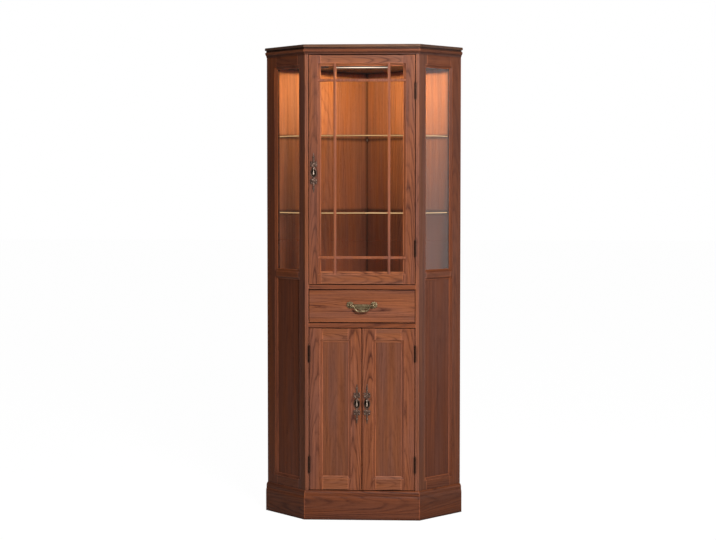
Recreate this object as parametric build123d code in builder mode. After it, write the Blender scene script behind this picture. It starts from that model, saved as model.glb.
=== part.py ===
from build123d import *
import os
from math import radians, sin, sqrt, tan

# Corner display and drinks cabinet. Its plan has five sides: a front, two side
# returns at 45 degrees to it, and two backs that meet in the corner of the room.
# Millimetres, +Z up, front towards -Y. The origin is on the floor, in the middle
# of the overall width and depth.

# Driving dimensions of the whole
height = 1900
wall_leg = 570                # plinth and top board, along each wall from the room's corner
front_width = 463             # plinth and top board, across the front
overhang = 10                 # plinth and top board beyond the case, front and sides

# Heights, from the floor up
plinth_height = 117
cupboard_door_height = 649
rail_height = 18              # the thin rails above and below the drawer
drawer_front_height = 129
level_gap = 3.4               # above and below each door and the drawer
cornice_height = 28           # moulding under the top board
top_board_t = 11

# Timber and glass
frame_t = 20                  # posts, rails, stiles, doors and drawer front
board_t = 16                  # ceiling, floors and wooden shelf
back_t = 9
back_inset = 6                # back panels stand this far in from the walls
panel_t = 6
pane_t = 4
shelf_glass_t = 6
fit = 0.3                     # clearance of what sits in a groove, hole or runner

# Front of the case
post_face = 14                # width of a front post's face
door_side_gap = 2             # beside the closing edge of a door, and beside the drawer
meeting_gap = 3               # between the two cupboard doors

# Side frames, along the side face from the front corner
side_stile = 45
rear_stile_width = 60
side_top_rail = 51            # below the cornice
side_bottom_rail = 48         # above the plinth
side_middle_rail = 42
side_middle_up = 17           # underside of the middle rail above the display floor
base_rail_z = 60              # underside of the lowest rails, behind the plinth

# Door frames
glass_stile = 47.5
glass_top_rail = 43
glass_bottom_rail = 49
cupboard_stile = 54
cupboard_rail = 55
bevel_width = 11              # sloped lip around every framed opening
bevel_depth = 8
bevel_quirk = 1.5             # small step at the outer edge of the lip
groove_depth = 6
arris_r = 1.6                 # rounded long edges
top_edge_r = 4.5              # upper edge of the top board
door_back_gap = 2             # between a closed door and the ceiling board

# Cornice section, below the top board
cornice_groove = 7            # height of the groove between the top board and the bead
cornice_groove_out = 3
cornice_bead = 9              # height of the bead
cornice_bead_in = 1           # behind the top board's edge
cornice_fillet = 1.2          # step under the bead
cornice_cove_out = 7.4
cornice_foot = 2
cornice_foot_height = 2

# Plinth section
plinth_ledge = 1.5
plinth_step_out = 7.5
plinth_step_down = (13, 23)   # upper and lower end of the step, below the plinth's top
plinth_round_down = 35        # where the lower round ends

# Glazing bars of the glass door
bar_width = 11
bar_t = 6
bar_chamfer = 2.5
bar_joint = 0.05              # where a level bar meets an upright one
bar_in_side = 56              # from the opening's edge to a bar's middle
bar_in_end = 56

# Shelves
ceiling_down = 67             # underside of the display ceiling below the top board
lower_glass_shelf_up = 283    # its underside above the display floor
upper_glass_shelf_down = 285  # its underside below the display ceiling
cupboard_shelf_up = 313       # its underside above the cupboard floor
shelf_setback = 30            # front edge of every shelf, behind the case's front
shelf_side_gap = 1
glass_edge = 0.8              # ground edge of a glass shelf
pin_r = 2.5
pin_out = 8
pin_in = 8
front_pin_x = 35              # along the side face, from its front corner
rear_pin_in = 22              # from a rear stile's inner edge

# Drawer box
drawer_rear_space = 26.7      # from the box's rear corners back to the back panels
drawer_side_height = 96
drawer_side_t = 12
drawer_back_t = 12
drawer_back_drop = 6          # the back's upper edge below the sides
drawer_bottom_t = 5
drawer_bottom_z = 8           # above the lower edge of the sides
drawer_groove = 5
drawer_edge_r = 2.2
guide_width = 12
guide_height = 22

# Lamp under the display ceiling
lamp_width = 220
lamp_depth = 26
lamp_housing_t = 7
lamp_lens_t = 4
lamp_lens_margin = 4
lamp_lens_r = 2
lamp_setback = 66             # front of the lamp behind the case's front

# Butt hinges
hinge_height = 66
hinge_leaf_t = 1.0
hinge_leaf_depth = 15
hinge_split = 0.4             # between the two closed leaves
knuckle_r = 3.0
knuckle_proud = 3.2           # pin's centre in front of the case
knuckle_gap = 0.4             # between knuckles, and behind them
pin_bore_gap = 0.05           # running clearance of a pin
hinge_pin_r = 1.5
glass_hinge_inset = 142       # middle of a hinge from the door's end
cupboard_hinge_inset = 101

# Magnetic catches
catch_width = 40
catch_depth = 13
catch_height = 14
catch_edge_r = 1.5
catch_back = 0.5              # behind a closed door
cupboard_catch_x = 26
glass_catch_in = 59           # middle of the catch from the left post

# Pull plates with a swinging drop
plate_t = 2.5
boss_size = (14, 21)          # half width and half height of the middle lobe
body_size = (6, 60)           # and of the long body behind it
shoulder_r = 11.5
shoulder_z = 27               # centres of the lobes, up and down from the middle
scroll_r = 5
scroll_place = (9, 41)        # out and up from the middle
finial_r = 5.4
finial_z = 62
tip_size = (2.6, 10)
tip_z = 70
rim_size = (11.6, 18)         # raised oval round the drop
rim_width = 1.8
rim_t = 1.2
drop_length = 26
drop_r = 4.6
drop_belly_up = 6             # widest place above the drop's lower end
drop_chin = 3.3               # a point of its rounded end, as far out as it is up
drop_neck_r = 1.9
drop_neck_sink = 0.6          # the neck runs this far into the eye
drop_eye_r = 3.2
drop_eye_width = 4
drop_pin_r = 1.1
drop_stand = 6.8              # drop pin's centre in front of the plate
drop_pin_z = 16               # above the middle of the plate
drop_ear_t = 1.6
drop_ear_r = 2.6
pull_from_edge = 18.7         # middle of the plate from the door's closing edge
cupboard_pull_up = 346.6      # and from the door's lower edge
glass_pull_up = 443

# Drawer handle: a shaped back plate, two turned posts and a swinging bail
handle_half_span = 45         # from the middle to a post
handle_up = 4                 # above the middle of the drawer front
handle_plate_t = 2.5
rose_size = (14, 13)
rose_lobe_r = 6.5
rose_lobe_place = (12.5, 9.5) # out and up from a rose's middle
handle_bar_height = 9
post_neck_r = 3
post_ball_r = 5.2
bail_r = 3.2
bail_end_r = 1.8
bail_drop = 22
bail_neck = 9                 # from a post's middle to the bend
bail_lean = 9                 # the bail narrows by this on each side
bail_bend_r = 4
bail_lower_r = 8
bail_stand = 17               # bail's pivot in front of the drawer
knop_r = 5
knop_half = 16

# Places worked out from the driving dimensions
root2 = sqrt(2)
plan_depth = wall_leg * root2 - front_width / 2
handle_reach = bail_stand + post_ball_r - overhang
front_y = (handle_reach - plan_depth) / 2
corner_y = front_y + plan_depth
case_y = front_y + overhang
case_half = front_width / 2 - overhang * tan(radians(22.5))
case_leg = wall_leg - overhang
side_length = case_leg - case_half * root2
back_line = back_inset + back_t
wall_line = corner_y - back_line * root2
opening_half = case_half - post_face

cupboard_door_z = plinth_height + level_gap
cupboard_door_top = cupboard_door_z + cupboard_door_height
drawer_rail_z = cupboard_door_top + level_gap
drawer_deck_top = drawer_rail_z + rail_height
drawer_z = drawer_deck_top + level_gap
drawer_top = drawer_z + drawer_front_height
handle_z = (drawer_z + drawer_top) / 2 + handle_up
display_rail_z = drawer_top + level_gap
display_floor_top = display_rail_z + rail_height
glass_door_z = display_floor_top + level_gap
case_top = height - top_board_t
cornice_z = case_top - cornice_height
glass_door_top = cornice_z - level_gap
ceiling_z = case_top - ceiling_down
glass_shelf_z = (display_floor_top + lower_glass_shelf_up, ceiling_z - upper_glass_shelf_down)
cupboard_shelf_z = plinth_height + cupboard_shelf_up
side_middle_z = display_floor_top + side_middle_up

side_opening_x = (side_stile, side_length - rear_stile_width)
side_glass_z = (side_middle_z + side_middle_rail, cornice_z - side_top_rail)
side_panel_z = (plinth_height + side_bottom_rail, side_middle_z)
all_shelf_z = (*glass_shelf_z, cupboard_shelf_z)

hinge_gap = 2 * hinge_leaf_t + hinge_split
hinge_x = opening_half - hinge_gap / 2
hinge_y = case_y - knuckle_proud
glass_hinge_z = (glass_door_z + glass_hinge_inset, glass_door_top - glass_hinge_inset)
cupboard_hinge_z = (cupboard_door_z + cupboard_hinge_inset, cupboard_door_top - cupboard_hinge_inset)

# Working planes. On each face x runs along it, y up, and z out of it.
front_face = Plane(origin=(0, case_y, 0), x_dir=(1, 0, 0), z_dir=(0, -1, 0))
right_face = Plane(origin=(case_half, case_y, 0), x_dir=(1, 1, 0), z_dir=(1, -1, 0))
rear_edge = (case_leg / root2, corner_y - case_leg / root2, 0)
right_wall = Plane(origin=rear_edge, x_dir=(-1, 1, 0), z_dir=(1, 1, 0))
corner_pin_y = wall_line - pin_r - fit
corner_pin = Plane(origin=(0, corner_pin_y, 0), x_dir=(1, 0, 0), z_dir=(0, -1, 0))

# Across a moulding's run, x runs outwards from the case and y up.
front_section = Plane(origin=(0, case_y, 0), x_dir=(0, -1, 0), z_dir=(-1, 0, 0))
side_section = Plane(origin=rear_edge, x_dir=(1, -1, 0), z_dir=(-1, -1, 0))
mitre = Plane(origin=(case_half, case_y, 0), z_dir=(sin(radians(67.5)), sin(radians(22.5)), 0))

os.makedirs("parts", exist_ok=True)


def finish(piece, label):
    """Name a finished piece and write it out."""
    piece.part.label = label
    export_step(piece.part, f"parts/{label}.step")


def finish_mirrored(piece, label):
    """The left-hand copy of a right-hand piece."""
    with BuildPart() as left:
        add(mirror(piece.part, about=Plane.YZ, mode=Mode.PRIVATE))
    finish(left, label)


def slab(face, x0, x1, y0, y1, near, far, mode=Mode.ADD):
    """A block behind a face: x0 to x1 along it, y0 to y1 up it, near to far behind it."""
    with BuildSketch(face.offset(-near)) as outline:
        with Locations(((x0 + x1) / 2, (y0 + y1) / 2)):
            Rectangle(x1 - x0, y1 - y0)
    extrude(outline.sketch, amount=near - far, mode=mode)


def framed_opening(face, x0, x1, y0, y1, infill_t):
    """Cut an opening through a frame: a bevelled lip in front, a groove behind it."""
    lip, groove = bevel_width, groove_depth
    slab(face, x0, x1, y0, y1, 0, frame_t, Mode.SUBTRACT)
    slab(face, x0 - lip, x1 + lip, y0 - lip, y1 + lip, 0, bevel_quirk, Mode.SUBTRACT)
    with BuildSketch(face.offset(-bevel_quirk)) as outer_edge:
        with Locations(((x0 + x1) / 2, (y0 + y1) / 2)):
            Rectangle(x1 - x0 + 2 * lip, y1 - y0 + 2 * lip)
    with BuildSketch(face.offset(-bevel_depth)) as inner_edge:
        with Locations(((x0 + x1) / 2, (y0 + y1) / 2)):
            Rectangle(x1 - x0, y1 - y0)
    loft([outer_edge.sketch, inner_edge.sketch], ruled=True, mode=Mode.SUBTRACT)
    slab(
        face, x0 - groove, x1 + groove, y0 - groove, y1 + groove,
        bevel_depth, bevel_depth + infill_t + fit, Mode.SUBTRACT,
    )


def infill(face, x0, x1, y0, y1, infill_t):
    """A pane or panel in an opening's groove, with clearance all round."""
    edge = groove_depth - fit
    near = bevel_depth + fit / 2
    slab(face, x0 - edge, x1 + edge, y0 - edge, y1 + edge, near, near + infill_t)


def plan_outline(front_in, side_in, wall_in):
    """Corners of a five-sided board, set in from the case's front, sides and walls."""
    y_front = case_y + front_in
    side_line = case_half - case_y - side_in * root2
    y_corner = corner_y - wall_in * root2
    x_front = y_front + side_line
    x_rear = (y_corner + side_line) / 2
    y_rear = (y_corner - side_line) / 2
    return [
        (-x_front, y_front), (x_front, y_front), (x_rear, y_rear), (0, y_corner), (-x_rear, y_rear),
    ]


def board(z, thickness, front_in, side_in, wall_in):
    """A five-sided board lying at height z."""
    with BuildSketch(Plane.XY.offset(z)) as outline:
        Polygon(*plan_outline(front_in, side_in, wall_in), align=None)
    extrude(outline.sketch, amount=thickness)


def side_pin_place(along):
    """A plane on the right side's inner face, looking into the cabinet."""
    spot = right_face.from_local_coords((along, 0, -frame_t))
    return Plane(origin=(spot.X, spot.Y, 0), x_dir=(-1, -1, 0), z_dir=(-1, 1, 0))


front_pin = side_pin_place(front_pin_x)
rear_pin = side_pin_place(side_length - rear_stile_width + rear_pin_in)


def shelf_pin(shelf_z, place):
    """A rod in the wood behind a plane, standing out under a shelf."""
    with BuildSketch(place.offset(-pin_in)) as rod:
        with Locations((0, shelf_z - pin_r)):
            Circle(pin_r)
    extrude(rod.sketch, amount=pin_in + pin_out)


def shelf_pin_holes(place):
    """A drilled hole for each shelf's pin."""
    with BuildSketch(place) as drill:
        for shelf_z in all_shelf_z:
            with Locations((0, shelf_z - pin_r)):
                Circle(pin_r + fit / 2)
    extrude(drill.sketch, amount=-pin_in, mode=Mode.SUBTRACT)


def side_frame_openings():
    """The glass opening and the panel opening of the right side frame."""
    framed_opening(right_face, *side_opening_x, *side_glass_z, pane_t)
    framed_opening(right_face, *side_opening_x, *side_panel_z, panel_t)


# Front posts: a front strip and a side stile in one piece, bent at 135 degrees
stile_end = right_face.from_local_coords((side_stile, 0, 0))
stile_back = right_face.from_local_coords((side_stile, 0, -frame_t))
inner_bend = plan_outline(frame_t, frame_t, back_line)[1]

with BuildPart() as front_post_right:
    with BuildSketch():
        Polygon(
            (opening_half, case_y), (case_half, case_y), (stile_end.X, stile_end.Y),
            (stile_back.X, stile_back.Y), inner_bend, (opening_half, case_y + frame_t),
            align=None,
        )
        fillet(vertices().group_by(Axis.Y)[0], radius=arris_r)
    extrude(amount=case_top)
    shelf_pin_holes(front_pin)
    side_frame_openings()
finish(front_post_right, "front_post_right")
finish_mirrored(front_post_right, "front_post_left")

# Rear stiles of the side frames, against the walls
with BuildPart() as rear_stile_right:
    slab(right_face, side_opening_x[1], side_length, 0, case_top, 0, frame_t)
    shelf_pin_holes(rear_pin)
    side_frame_openings()
finish(rear_stile_right, "rear_stile_right")
finish_mirrored(rear_stile_right, "rear_stile_left")

# Rails of the side frames, one pair at each level
side_rail_levels = {
    "side_top_rails": (side_glass_z[1], case_top),
    "side_middle_rails": (side_middle_z, side_middle_z + side_middle_rail),
    "side_bottom_rails": (base_rail_z, side_panel_z[0]),
}
for label, level in side_rail_levels.items():
    with BuildPart() as side_rails:
        slab(right_face, *side_opening_x, *level, 0, frame_t)
        side_frame_openings()
        mirror(about=Plane.YZ)
    finish(side_rails, label)

with BuildPart() as side_panes:
    infill(right_face, *side_opening_x, *side_glass_z, pane_t)
    mirror(about=Plane.YZ)
finish(side_panes, "side_panes")

with BuildPart() as side_panels:
    infill(right_face, *side_opening_x, *side_panel_z, panel_t)
    mirror(about=Plane.YZ)
finish(side_panels, "side_panels")

# Backs, and the batten that joins them in the corner of the room
with BuildPart() as back_panel_right:
    slab(right_wall, frame_t, case_leg - back_line, base_rail_z, case_top, back_inset, back_line)
    shelf_pin_holes(corner_pin)
finish(back_panel_right, "back_panel_right")
finish_mirrored(back_panel_right, "back_panel_left")

with BuildPart() as corner_batten:
    slab(right_wall, case_leg - back_line, case_leg, 0, case_top, 0, back_line)
    shelf_pin_holes(corner_pin)
finish(corner_batten, "corner_batten")

# Five-sided boards
with BuildPart() as top_board:
    board(case_top, top_board_t, -overhang, -overhang, 0)
    fillet(top_board.edges().group_by(Axis.Z)[-1].sort_by(Axis.Y)[:3], radius=top_edge_r)
    fillet(top_board.edges().group_by(Axis.Z)[0].sort_by(Axis.Y)[:3], radius=arris_r)
finish(top_board, "top_board")

with BuildPart() as ceiling_board:
    board(ceiling_z, board_t, frame_t + door_back_gap, frame_t, back_line)
finish(ceiling_board, "ceiling_board")

with BuildPart() as display_floor:
    board(display_rail_z, rail_height, frame_t, frame_t, back_line)
finish(display_floor, "display_floor")

with BuildPart() as drawer_deck:
    board(drawer_rail_z, rail_height, frame_t, frame_t, back_line)
finish(drawer_deck, "drawer_deck")

with BuildPart() as cupboard_floor:
    board(plinth_height - board_t, board_t, frame_t, frame_t, back_line)
finish(cupboard_floor, "cupboard_floor")

# Shelves: two of glass in the display, one of wood in the cupboard
shelf_edges = (shelf_setback, frame_t + shelf_side_gap, back_line + shelf_side_gap)

with BuildPart() as cupboard_shelf:
    board(cupboard_shelf_z, board_t, *shelf_edges)
finish(cupboard_shelf, "cupboard_shelf")

for label, shelf_z in zip(("glass_shelf_lower", "glass_shelf_upper"), glass_shelf_z):
    with BuildPart() as glass_shelf:
        board(shelf_z, shelf_glass_t, *shelf_edges)
        chamfer(glass_shelf.edges(), length=glass_edge)
    finish(glass_shelf, label)

with BuildPart() as shelf_pins:
    for shelf_z in all_shelf_z:
        shelf_pin(shelf_z, front_pin)
        shelf_pin(shelf_z, rear_pin)
    mirror(about=Plane.YZ)
    for shelf_z in all_shelf_z:
        shelf_pin(shelf_z, corner_pin)
finish(shelf_pins, "shelf_pins")

# Front rails between the posts
front_rail_levels = {
    "top_rail": (cornice_z, case_top),
    "display_rail": (display_rail_z, display_floor_top),
    "drawer_rail": (drawer_rail_z, drawer_deck_top),
    "bottom_rail": (base_rail_z, plinth_height),
}
for label, level in front_rail_levels.items():
    with BuildPart() as front_rail:
        slab(front_face, -opening_half, opening_half, *level, 0, frame_t)
        fillet(front_rail.edges().filter_by(Axis.X).group_by(Axis.Y)[0], radius=arris_r)
    finish(front_rail, label)


# Cornice and plinth, mitred at the front corners
def cornice_section(plane):
    """A cove, a bead and a groove, from below, within the top board's edge."""
    bead_r = cornice_bead / 2
    bead_x = overhang - cornice_bead_in - bead_r
    bead_top = cornice_z + cornice_height - cornice_groove
    cove_top = bead_top - cornice_bead - cornice_fillet
    with BuildSketch(plane) as section:
        with BuildLine():
            Polyline(
                (bead_x, bead_top), (cornice_groove_out, bead_top),
                (cornice_groove_out, cornice_z + cornice_height), (0, cornice_z + cornice_height), (0, cornice_z),
                (cornice_foot, cornice_z), (cornice_foot, cornice_z + cornice_foot_height),
            )
            TangentArc(
                (cornice_foot, cornice_z + cornice_foot_height), (cornice_cove_out, cove_top), tangent=(0, 1),
            )
            Polyline(
                (cornice_cove_out, cove_top), (cornice_cove_out, cove_top + cornice_fillet),
                (bead_x, cove_top + cornice_fillet),
            )
            ThreePointArc(
                (bead_x, cove_top + cornice_fillet),
                (bead_x + bead_r, bead_top - bead_r),
                (bead_x, bead_top),
            )
        make_face()
    return section.sketch


def plinth_section(plane):
    """A flat board whose upper edge is rounded over above a narrow step and a second round."""
    step_top, step_foot = (plinth_height - down for down in plinth_step_down)
    round_z = plinth_height - plinth_round_down
    with BuildSketch(plane) as section:
        with BuildLine():
            Polyline(
                (overhang, round_z), (overhang, 0), (0, 0), (0, plinth_height), (plinth_ledge, plinth_height),
            )
            TangentArc((plinth_step_out, step_top), (plinth_ledge, plinth_height), tangent=(0, 1))
            Line((plinth_step_out, step_top), (plinth_step_out, step_foot))
            TangentArc((overhang, round_z), (plinth_step_out, step_foot), tangent=(0, 1))
        make_face()
    return section.sketch


for label, section in (("cornice", cornice_section), ("plinth", plinth_section)):
    with BuildPart() as front_moulding:
        extrude(section(front_section), amount=-(case_half + overhang))
        split(bisect_by=mitre, keep=Keep.BOTTOM)
        mirror(about=Plane.YZ)
    finish(front_moulding, f"{label}_front")
    with BuildPart() as side_mouldings:
        extrude(section(side_section), amount=side_length + overhang)
        split(bisect_by=mitre, keep=Keep.TOP)
        mirror(about=Plane.YZ)
    finish(side_mouldings, f"{label}_sides")

# Lamp under the display ceiling
lamp_half = lamp_width / 2
with BuildPart() as lamp_housing:
    slab(
        front_face, -lamp_half, lamp_half, ceiling_z - lamp_housing_t, ceiling_z,
        lamp_setback, lamp_setback + lamp_depth,
    )
    fillet(lamp_housing.edges().group_by(Axis.Z)[0], radius=arris_r)
finish(lamp_housing, "lamp_housing")

with BuildPart() as lamp_lens:
    lens_top = ceiling_z - lamp_housing_t
    slab(
        front_face, lamp_lens_margin - lamp_half, lamp_half - lamp_lens_margin,
        lens_top - lamp_lens_t, lens_top,
        lamp_setback + lamp_lens_margin, lamp_setback + lamp_depth - lamp_lens_margin,
    )
    fillet(lamp_lens.edges().group_by(Axis.Z)[0], radius=lamp_lens_r)
finish(lamp_lens, "lamp_lens")

# Magnetic catches behind the closing edges of the doors
catch_near = frame_t + catch_back
with BuildPart() as door_catches:
    for x, top in (
        (-cupboard_catch_x, drawer_rail_z), (cupboard_catch_x, drawer_rail_z),
        (glass_catch_in - opening_half, ceiling_z),
    ):
        slab(
            front_face, x - catch_width / 2, x + catch_width / 2, top - catch_height, top,
            catch_near, catch_near + catch_depth,
        )
    fillet(door_catches.edges().filter_by(Axis.Y), radius=catch_edge_r)
finish(door_catches, "door_catches")


# Butt hinges on the right-hand side of an opening
third = hinge_height / 3


def knuckle(z0, z1, radius, mode=Mode.ADD):
    """A stretch of the hinge's barrel."""
    with BuildSketch(Plane.XY.offset(z0)) as barrel:
        with Locations((hinge_x, hinge_y)):
            Circle(radius)
    extrude(barrel.sketch, amount=z1 - z0, mode=mode)


def fixed_leaf(z):
    """The leaf on the post, with the outer knuckles and the pin riveted in them."""
    leaf_x = (opening_half - hinge_leaf_t, opening_half)
    low, high = z - hinge_height / 2, z + hinge_height / 2
    slab(front_face, *leaf_x, low, high, knuckle_gap / 2, hinge_leaf_depth)
    for z0, z1 in ((low, z - (third + knuckle_gap) / 2), (z + (third + knuckle_gap) / 2, high)):
        knuckle(z0, z1, knuckle_r)
        slab(front_face, *leaf_x, z0, z1, -knuckle_proud, knuckle_gap)
    knuckle(low, high, hinge_pin_r)


def moving_leaf(z):
    """The leaf on the door, with the middle knuckle bored for the pin."""
    leaf_x = (opening_half - hinge_gap, opening_half - hinge_gap + hinge_leaf_t)
    z0, z1 = z - (third - knuckle_gap) / 2, z + (third - knuckle_gap) / 2
    slab(front_face, *leaf_x, z - hinge_height / 2, z + hinge_height / 2, knuckle_gap / 2, hinge_leaf_depth)
    slab(front_face, *leaf_x, z0, z1, -knuckle_proud, knuckle_gap)
    knuckle(z0, z1, knuckle_r)
    knuckle(z0, z1, hinge_pin_r + pin_bore_gap, Mode.SUBTRACT)


with BuildPart() as case_hinges:
    for z in cupboard_hinge_z:
        fixed_leaf(z)
    mirror(about=Plane.YZ)
    for z in glass_hinge_z:
        fixed_leaf(z)
finish(case_hinges, "case_hinges")

with BuildPart() as glass_door_hinges:
    for z in glass_hinge_z:
        moving_leaf(z)
finish(glass_door_hinges, "glass_door_hinges")

with BuildPart() as right_door_hinges:
    for z in cupboard_hinge_z:
        moving_leaf(z)
finish(right_door_hinges, "right_door_hinges")
finish_mirrored(right_door_hinges, "left_door_hinges")


# Framed doors
def door_stiles(outer, opening, infill_t):
    """The two uprights of a door. Both sizes are left, right, bottom, top."""
    left, right, bottom, top = outer
    slab(front_face, left, opening[0], bottom, top, 0, frame_t)
    slab(front_face, opening[1], right, bottom, top, 0, frame_t)
    front_edges = edges().filter_by(Axis.Z).group_by(Axis.Y)[0].sort_by(Axis.X)
    fillet([front_edges[0], front_edges[-1]], radius=arris_r)
    framed_opening(front_face, *opening, infill_t)


def door_rails(outer, opening, infill_t):
    """The two level members between a door's uprights."""
    left, right, bottom, top = outer
    slab(front_face, opening[0], opening[1], bottom, opening[2], 0, frame_t)
    slab(front_face, opening[0], opening[1], opening[3], top, 0, frame_t)
    front_edges = edges().filter_by(Axis.X).group_by(Axis.Y)[0].sort_by(Axis.Z)
    fillet([front_edges[0], front_edges[-1]], radius=arris_r)
    framed_opening(front_face, *opening, infill_t)


door_edge = opening_half - hinge_gap

# Cupboard doors, a left and a right with the same frame
door_outer = (meeting_gap / 2, door_edge, cupboard_door_z, cupboard_door_top)
door_opening = (
    door_outer[0] + cupboard_stile, door_outer[1] - cupboard_stile,
    door_outer[2] + cupboard_rail, door_outer[3] - cupboard_rail,
)

with BuildPart() as right_door_stiles:
    door_stiles(door_outer, door_opening, panel_t)
finish(right_door_stiles, "right_door_stiles")
finish_mirrored(right_door_stiles, "left_door_stiles")

with BuildPart() as right_door_rails:
    door_rails(door_outer, door_opening, panel_t)
finish(right_door_rails, "right_door_rails")
finish_mirrored(right_door_rails, "left_door_rails")

with BuildPart() as right_door_panel:
    infill(front_face, *door_opening, panel_t)
finish(right_door_panel, "right_door_panel")
finish_mirrored(right_door_panel, "left_door_panel")

# Glass door, hung on the right
glass_outer = (door_side_gap - opening_half, door_edge, glass_door_z, glass_door_top)
glass_opening = (
    glass_outer[0] + glass_stile, glass_outer[1] - glass_stile,
    glass_outer[2] + glass_bottom_rail, glass_outer[3] - glass_top_rail,
)

with BuildPart() as glass_door_stiles:
    door_stiles(glass_outer, glass_opening, pane_t)
finish(glass_door_stiles, "glass_door_stiles")

with BuildPart() as glass_door_rails:
    door_rails(glass_outer, glass_opening, pane_t)
finish(glass_door_rails, "glass_door_rails")

with BuildPart() as glass_door_pane:
    infill(front_face, *glass_opening, pane_t)
finish(glass_door_pane, "glass_door_pane")


# Glazing bars in front of the pane: the uprights run through, the level ones fit between
def glazing_bar(x0, x1, z0, z1, long_axis, mode=Mode.ADD):
    """One bar with chamfered front edges."""
    with BuildPart(mode=Mode.PRIVATE) as bar:
        slab(front_face, x0, x1, z0, z1, bevel_depth - bar_t, bevel_depth)
        chamfer(bar.edges().filter_by(long_axis).group_by(Axis.Y)[0], length=bar_chamfer)
    add(bar.part, mode=mode)


def upright_bars(half_width, mode=Mode.ADD):
    """Both upright bars."""
    for x in (glass_opening[0] + bar_in_side, glass_opening[1] - bar_in_side):
        glazing_bar(
            x - half_width, x + half_width,
            glass_opening[2] - bevel_width, glass_opening[3] + bevel_width, Axis.Z, mode,
        )


half_bar = bar_width / 2
with BuildPart() as level_bars:
    for z in (glass_opening[2] + bar_in_end, glass_opening[3] - bar_in_end):
        glazing_bar(
            glass_opening[0] - bevel_width, glass_opening[1] + bevel_width,
            z - half_bar, z + half_bar, Axis.X,
        )
    upright_bars(half_bar + bar_joint, Mode.SUBTRACT)

with BuildPart() as glazing_bars:
    upright_bars(half_bar)
    add(level_bars.part)
    add(glass_door_stiles.part, mode=Mode.SUBTRACT)
    add(glass_door_rails.part, mode=Mode.SUBTRACT)
finish(glazing_bars, "glazing_bars")


# Pull plates: a lobed cast plate, mirrored end for end, with an oval rim and two ears
def pull_plate(x, z):
    """The plate of a pull, its middle at x and z on the front."""
    with BuildSketch(front_face) as outline:
        with Locations((x, z)):
            Ellipse(*boss_size)
            Ellipse(*body_size)
        for end in (-1, 1):
            with Locations((x, z + end * shoulder_z)):
                Circle(shoulder_r)
            with Locations((x - scroll_place[0], z + end * scroll_place[1])):
                Circle(scroll_r)
            with Locations((x + scroll_place[0], z + end * scroll_place[1])):
                Circle(scroll_r)
            with Locations((x, z + end * finial_z)):
                Circle(finial_r)
            with Locations((x, z + end * tip_z)):
                Ellipse(*tip_size)
    extrude(outline.sketch, amount=plate_t)
    with BuildSketch(front_face.offset(plate_t)) as rim:
        with Locations((x, z)):
            Ellipse(*rim_size)
            Ellipse(rim_size[0] - rim_width, rim_size[1] - rim_width, mode=Mode.SUBTRACT)
    extrude(rim.sketch, amount=rim_t)
    pivot_z = z + drop_pin_z
    ear_x = drop_eye_width / 2 + fit
    stand = plate_t + drop_stand
    for side in (-1, 1):
        ear_face = Plane(origin=(x + side * ear_x, case_y, pivot_z), x_dir=(0, -side, 0), z_dir=(side, 0, 0))
        with BuildSketch(ear_face) as ear:
            with Locations((side * stand, 0)):
                Circle(drop_ear_r)
            with Locations((side * stand / 2, 0)):
                Rectangle(stand, 2 * drop_ear_r)
        extrude(ear.sketch, amount=drop_ear_t)
    pin_face = Plane(origin=(x, case_y - stand, pivot_z), z_dir=(1, 0, 0))
    with BuildSketch(pin_face) as pin:
        Circle(drop_pin_r)
    extrude(pin.sketch, amount=ear_x + drop_ear_t, both=True)


def pull_drop(x, z):
    """A turned drop hanging from its eye on the plate's pin."""
    pivot = (x, case_y - plate_t - drop_stand, z + drop_pin_z)
    neck_top, belly = drop_neck_sink - drop_eye_r, drop_belly_up - drop_length
    with BuildSketch(Plane(origin=pivot, x_dir=(1, 0, 0), z_dir=(0, -1, 0))) as half_profile:
        with BuildLine():
            Polyline((drop_neck_r, neck_top), (0, neck_top), (0, -drop_length))
            ThreePointArc((0, -drop_length), (drop_chin, drop_chin - drop_length), (drop_r, belly))
            Spline((drop_r, belly), (drop_neck_r, neck_top), tangents=((0, 1), (0, 1)))
        make_face()
    revolve(half_profile.sketch, axis=Axis(pivot, (0, 0, 1)), revolution_arc=360)
    eye_face = Plane(origin=pivot, z_dir=(1, 0, 0))
    with BuildSketch(eye_face) as eye:
        Circle(drop_eye_r)
    extrude(eye.sketch, amount=drop_eye_width / 2, both=True)
    with BuildSketch(eye_face) as bore:
        Circle(drop_pin_r + pin_bore_gap)
    extrude(bore.sketch, amount=drop_eye_width, both=True, mode=Mode.SUBTRACT)


cupboard_pull_x = door_outer[0] + pull_from_edge
cupboard_pull_z = door_outer[2] + cupboard_pull_up
pulls = {
    "glass_door": (glass_outer[0] + pull_from_edge, glass_outer[2] + glass_pull_up),
    "left_door": (-cupboard_pull_x, cupboard_pull_z),
    "right_door": (cupboard_pull_x, cupboard_pull_z),
}
for label, place in pulls.items():
    with BuildPart() as plate:
        pull_plate(*place)
    finish(plate, f"{label}_plate")
    with BuildPart() as drop:
        pull_drop(*place)
    finish(drop, f"{label}_drop")

# Drawer: a solid front, two sides, a back and a thin bottom held in grooves
drawer_half = opening_half - door_side_gap
box_half = opening_half - guide_width - fit
box_z = drawer_deck_top + fit
bottom_z = box_z + drawer_bottom_z
groove_levels = (bottom_z - fit / 2, bottom_z + drawer_bottom_t + fit / 2)
box_inner = box_half - drawer_side_t
box_rear = wall_line - box_half - drawer_rear_space - case_y

with BuildPart() as drawer_front:
    slab(front_face, -drawer_half, drawer_half, drawer_z, drawer_top, 0, frame_t)
    fillet(drawer_front.faces().sort_by(Axis.Y)[0].edges(), radius=drawer_edge_r)
    slab(
        front_face, -box_inner - drawer_groove, box_inner + drawer_groove, *groove_levels,
        frame_t - drawer_groove, frame_t, Mode.SUBTRACT,
    )
finish(drawer_front, "drawer_front")

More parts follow.
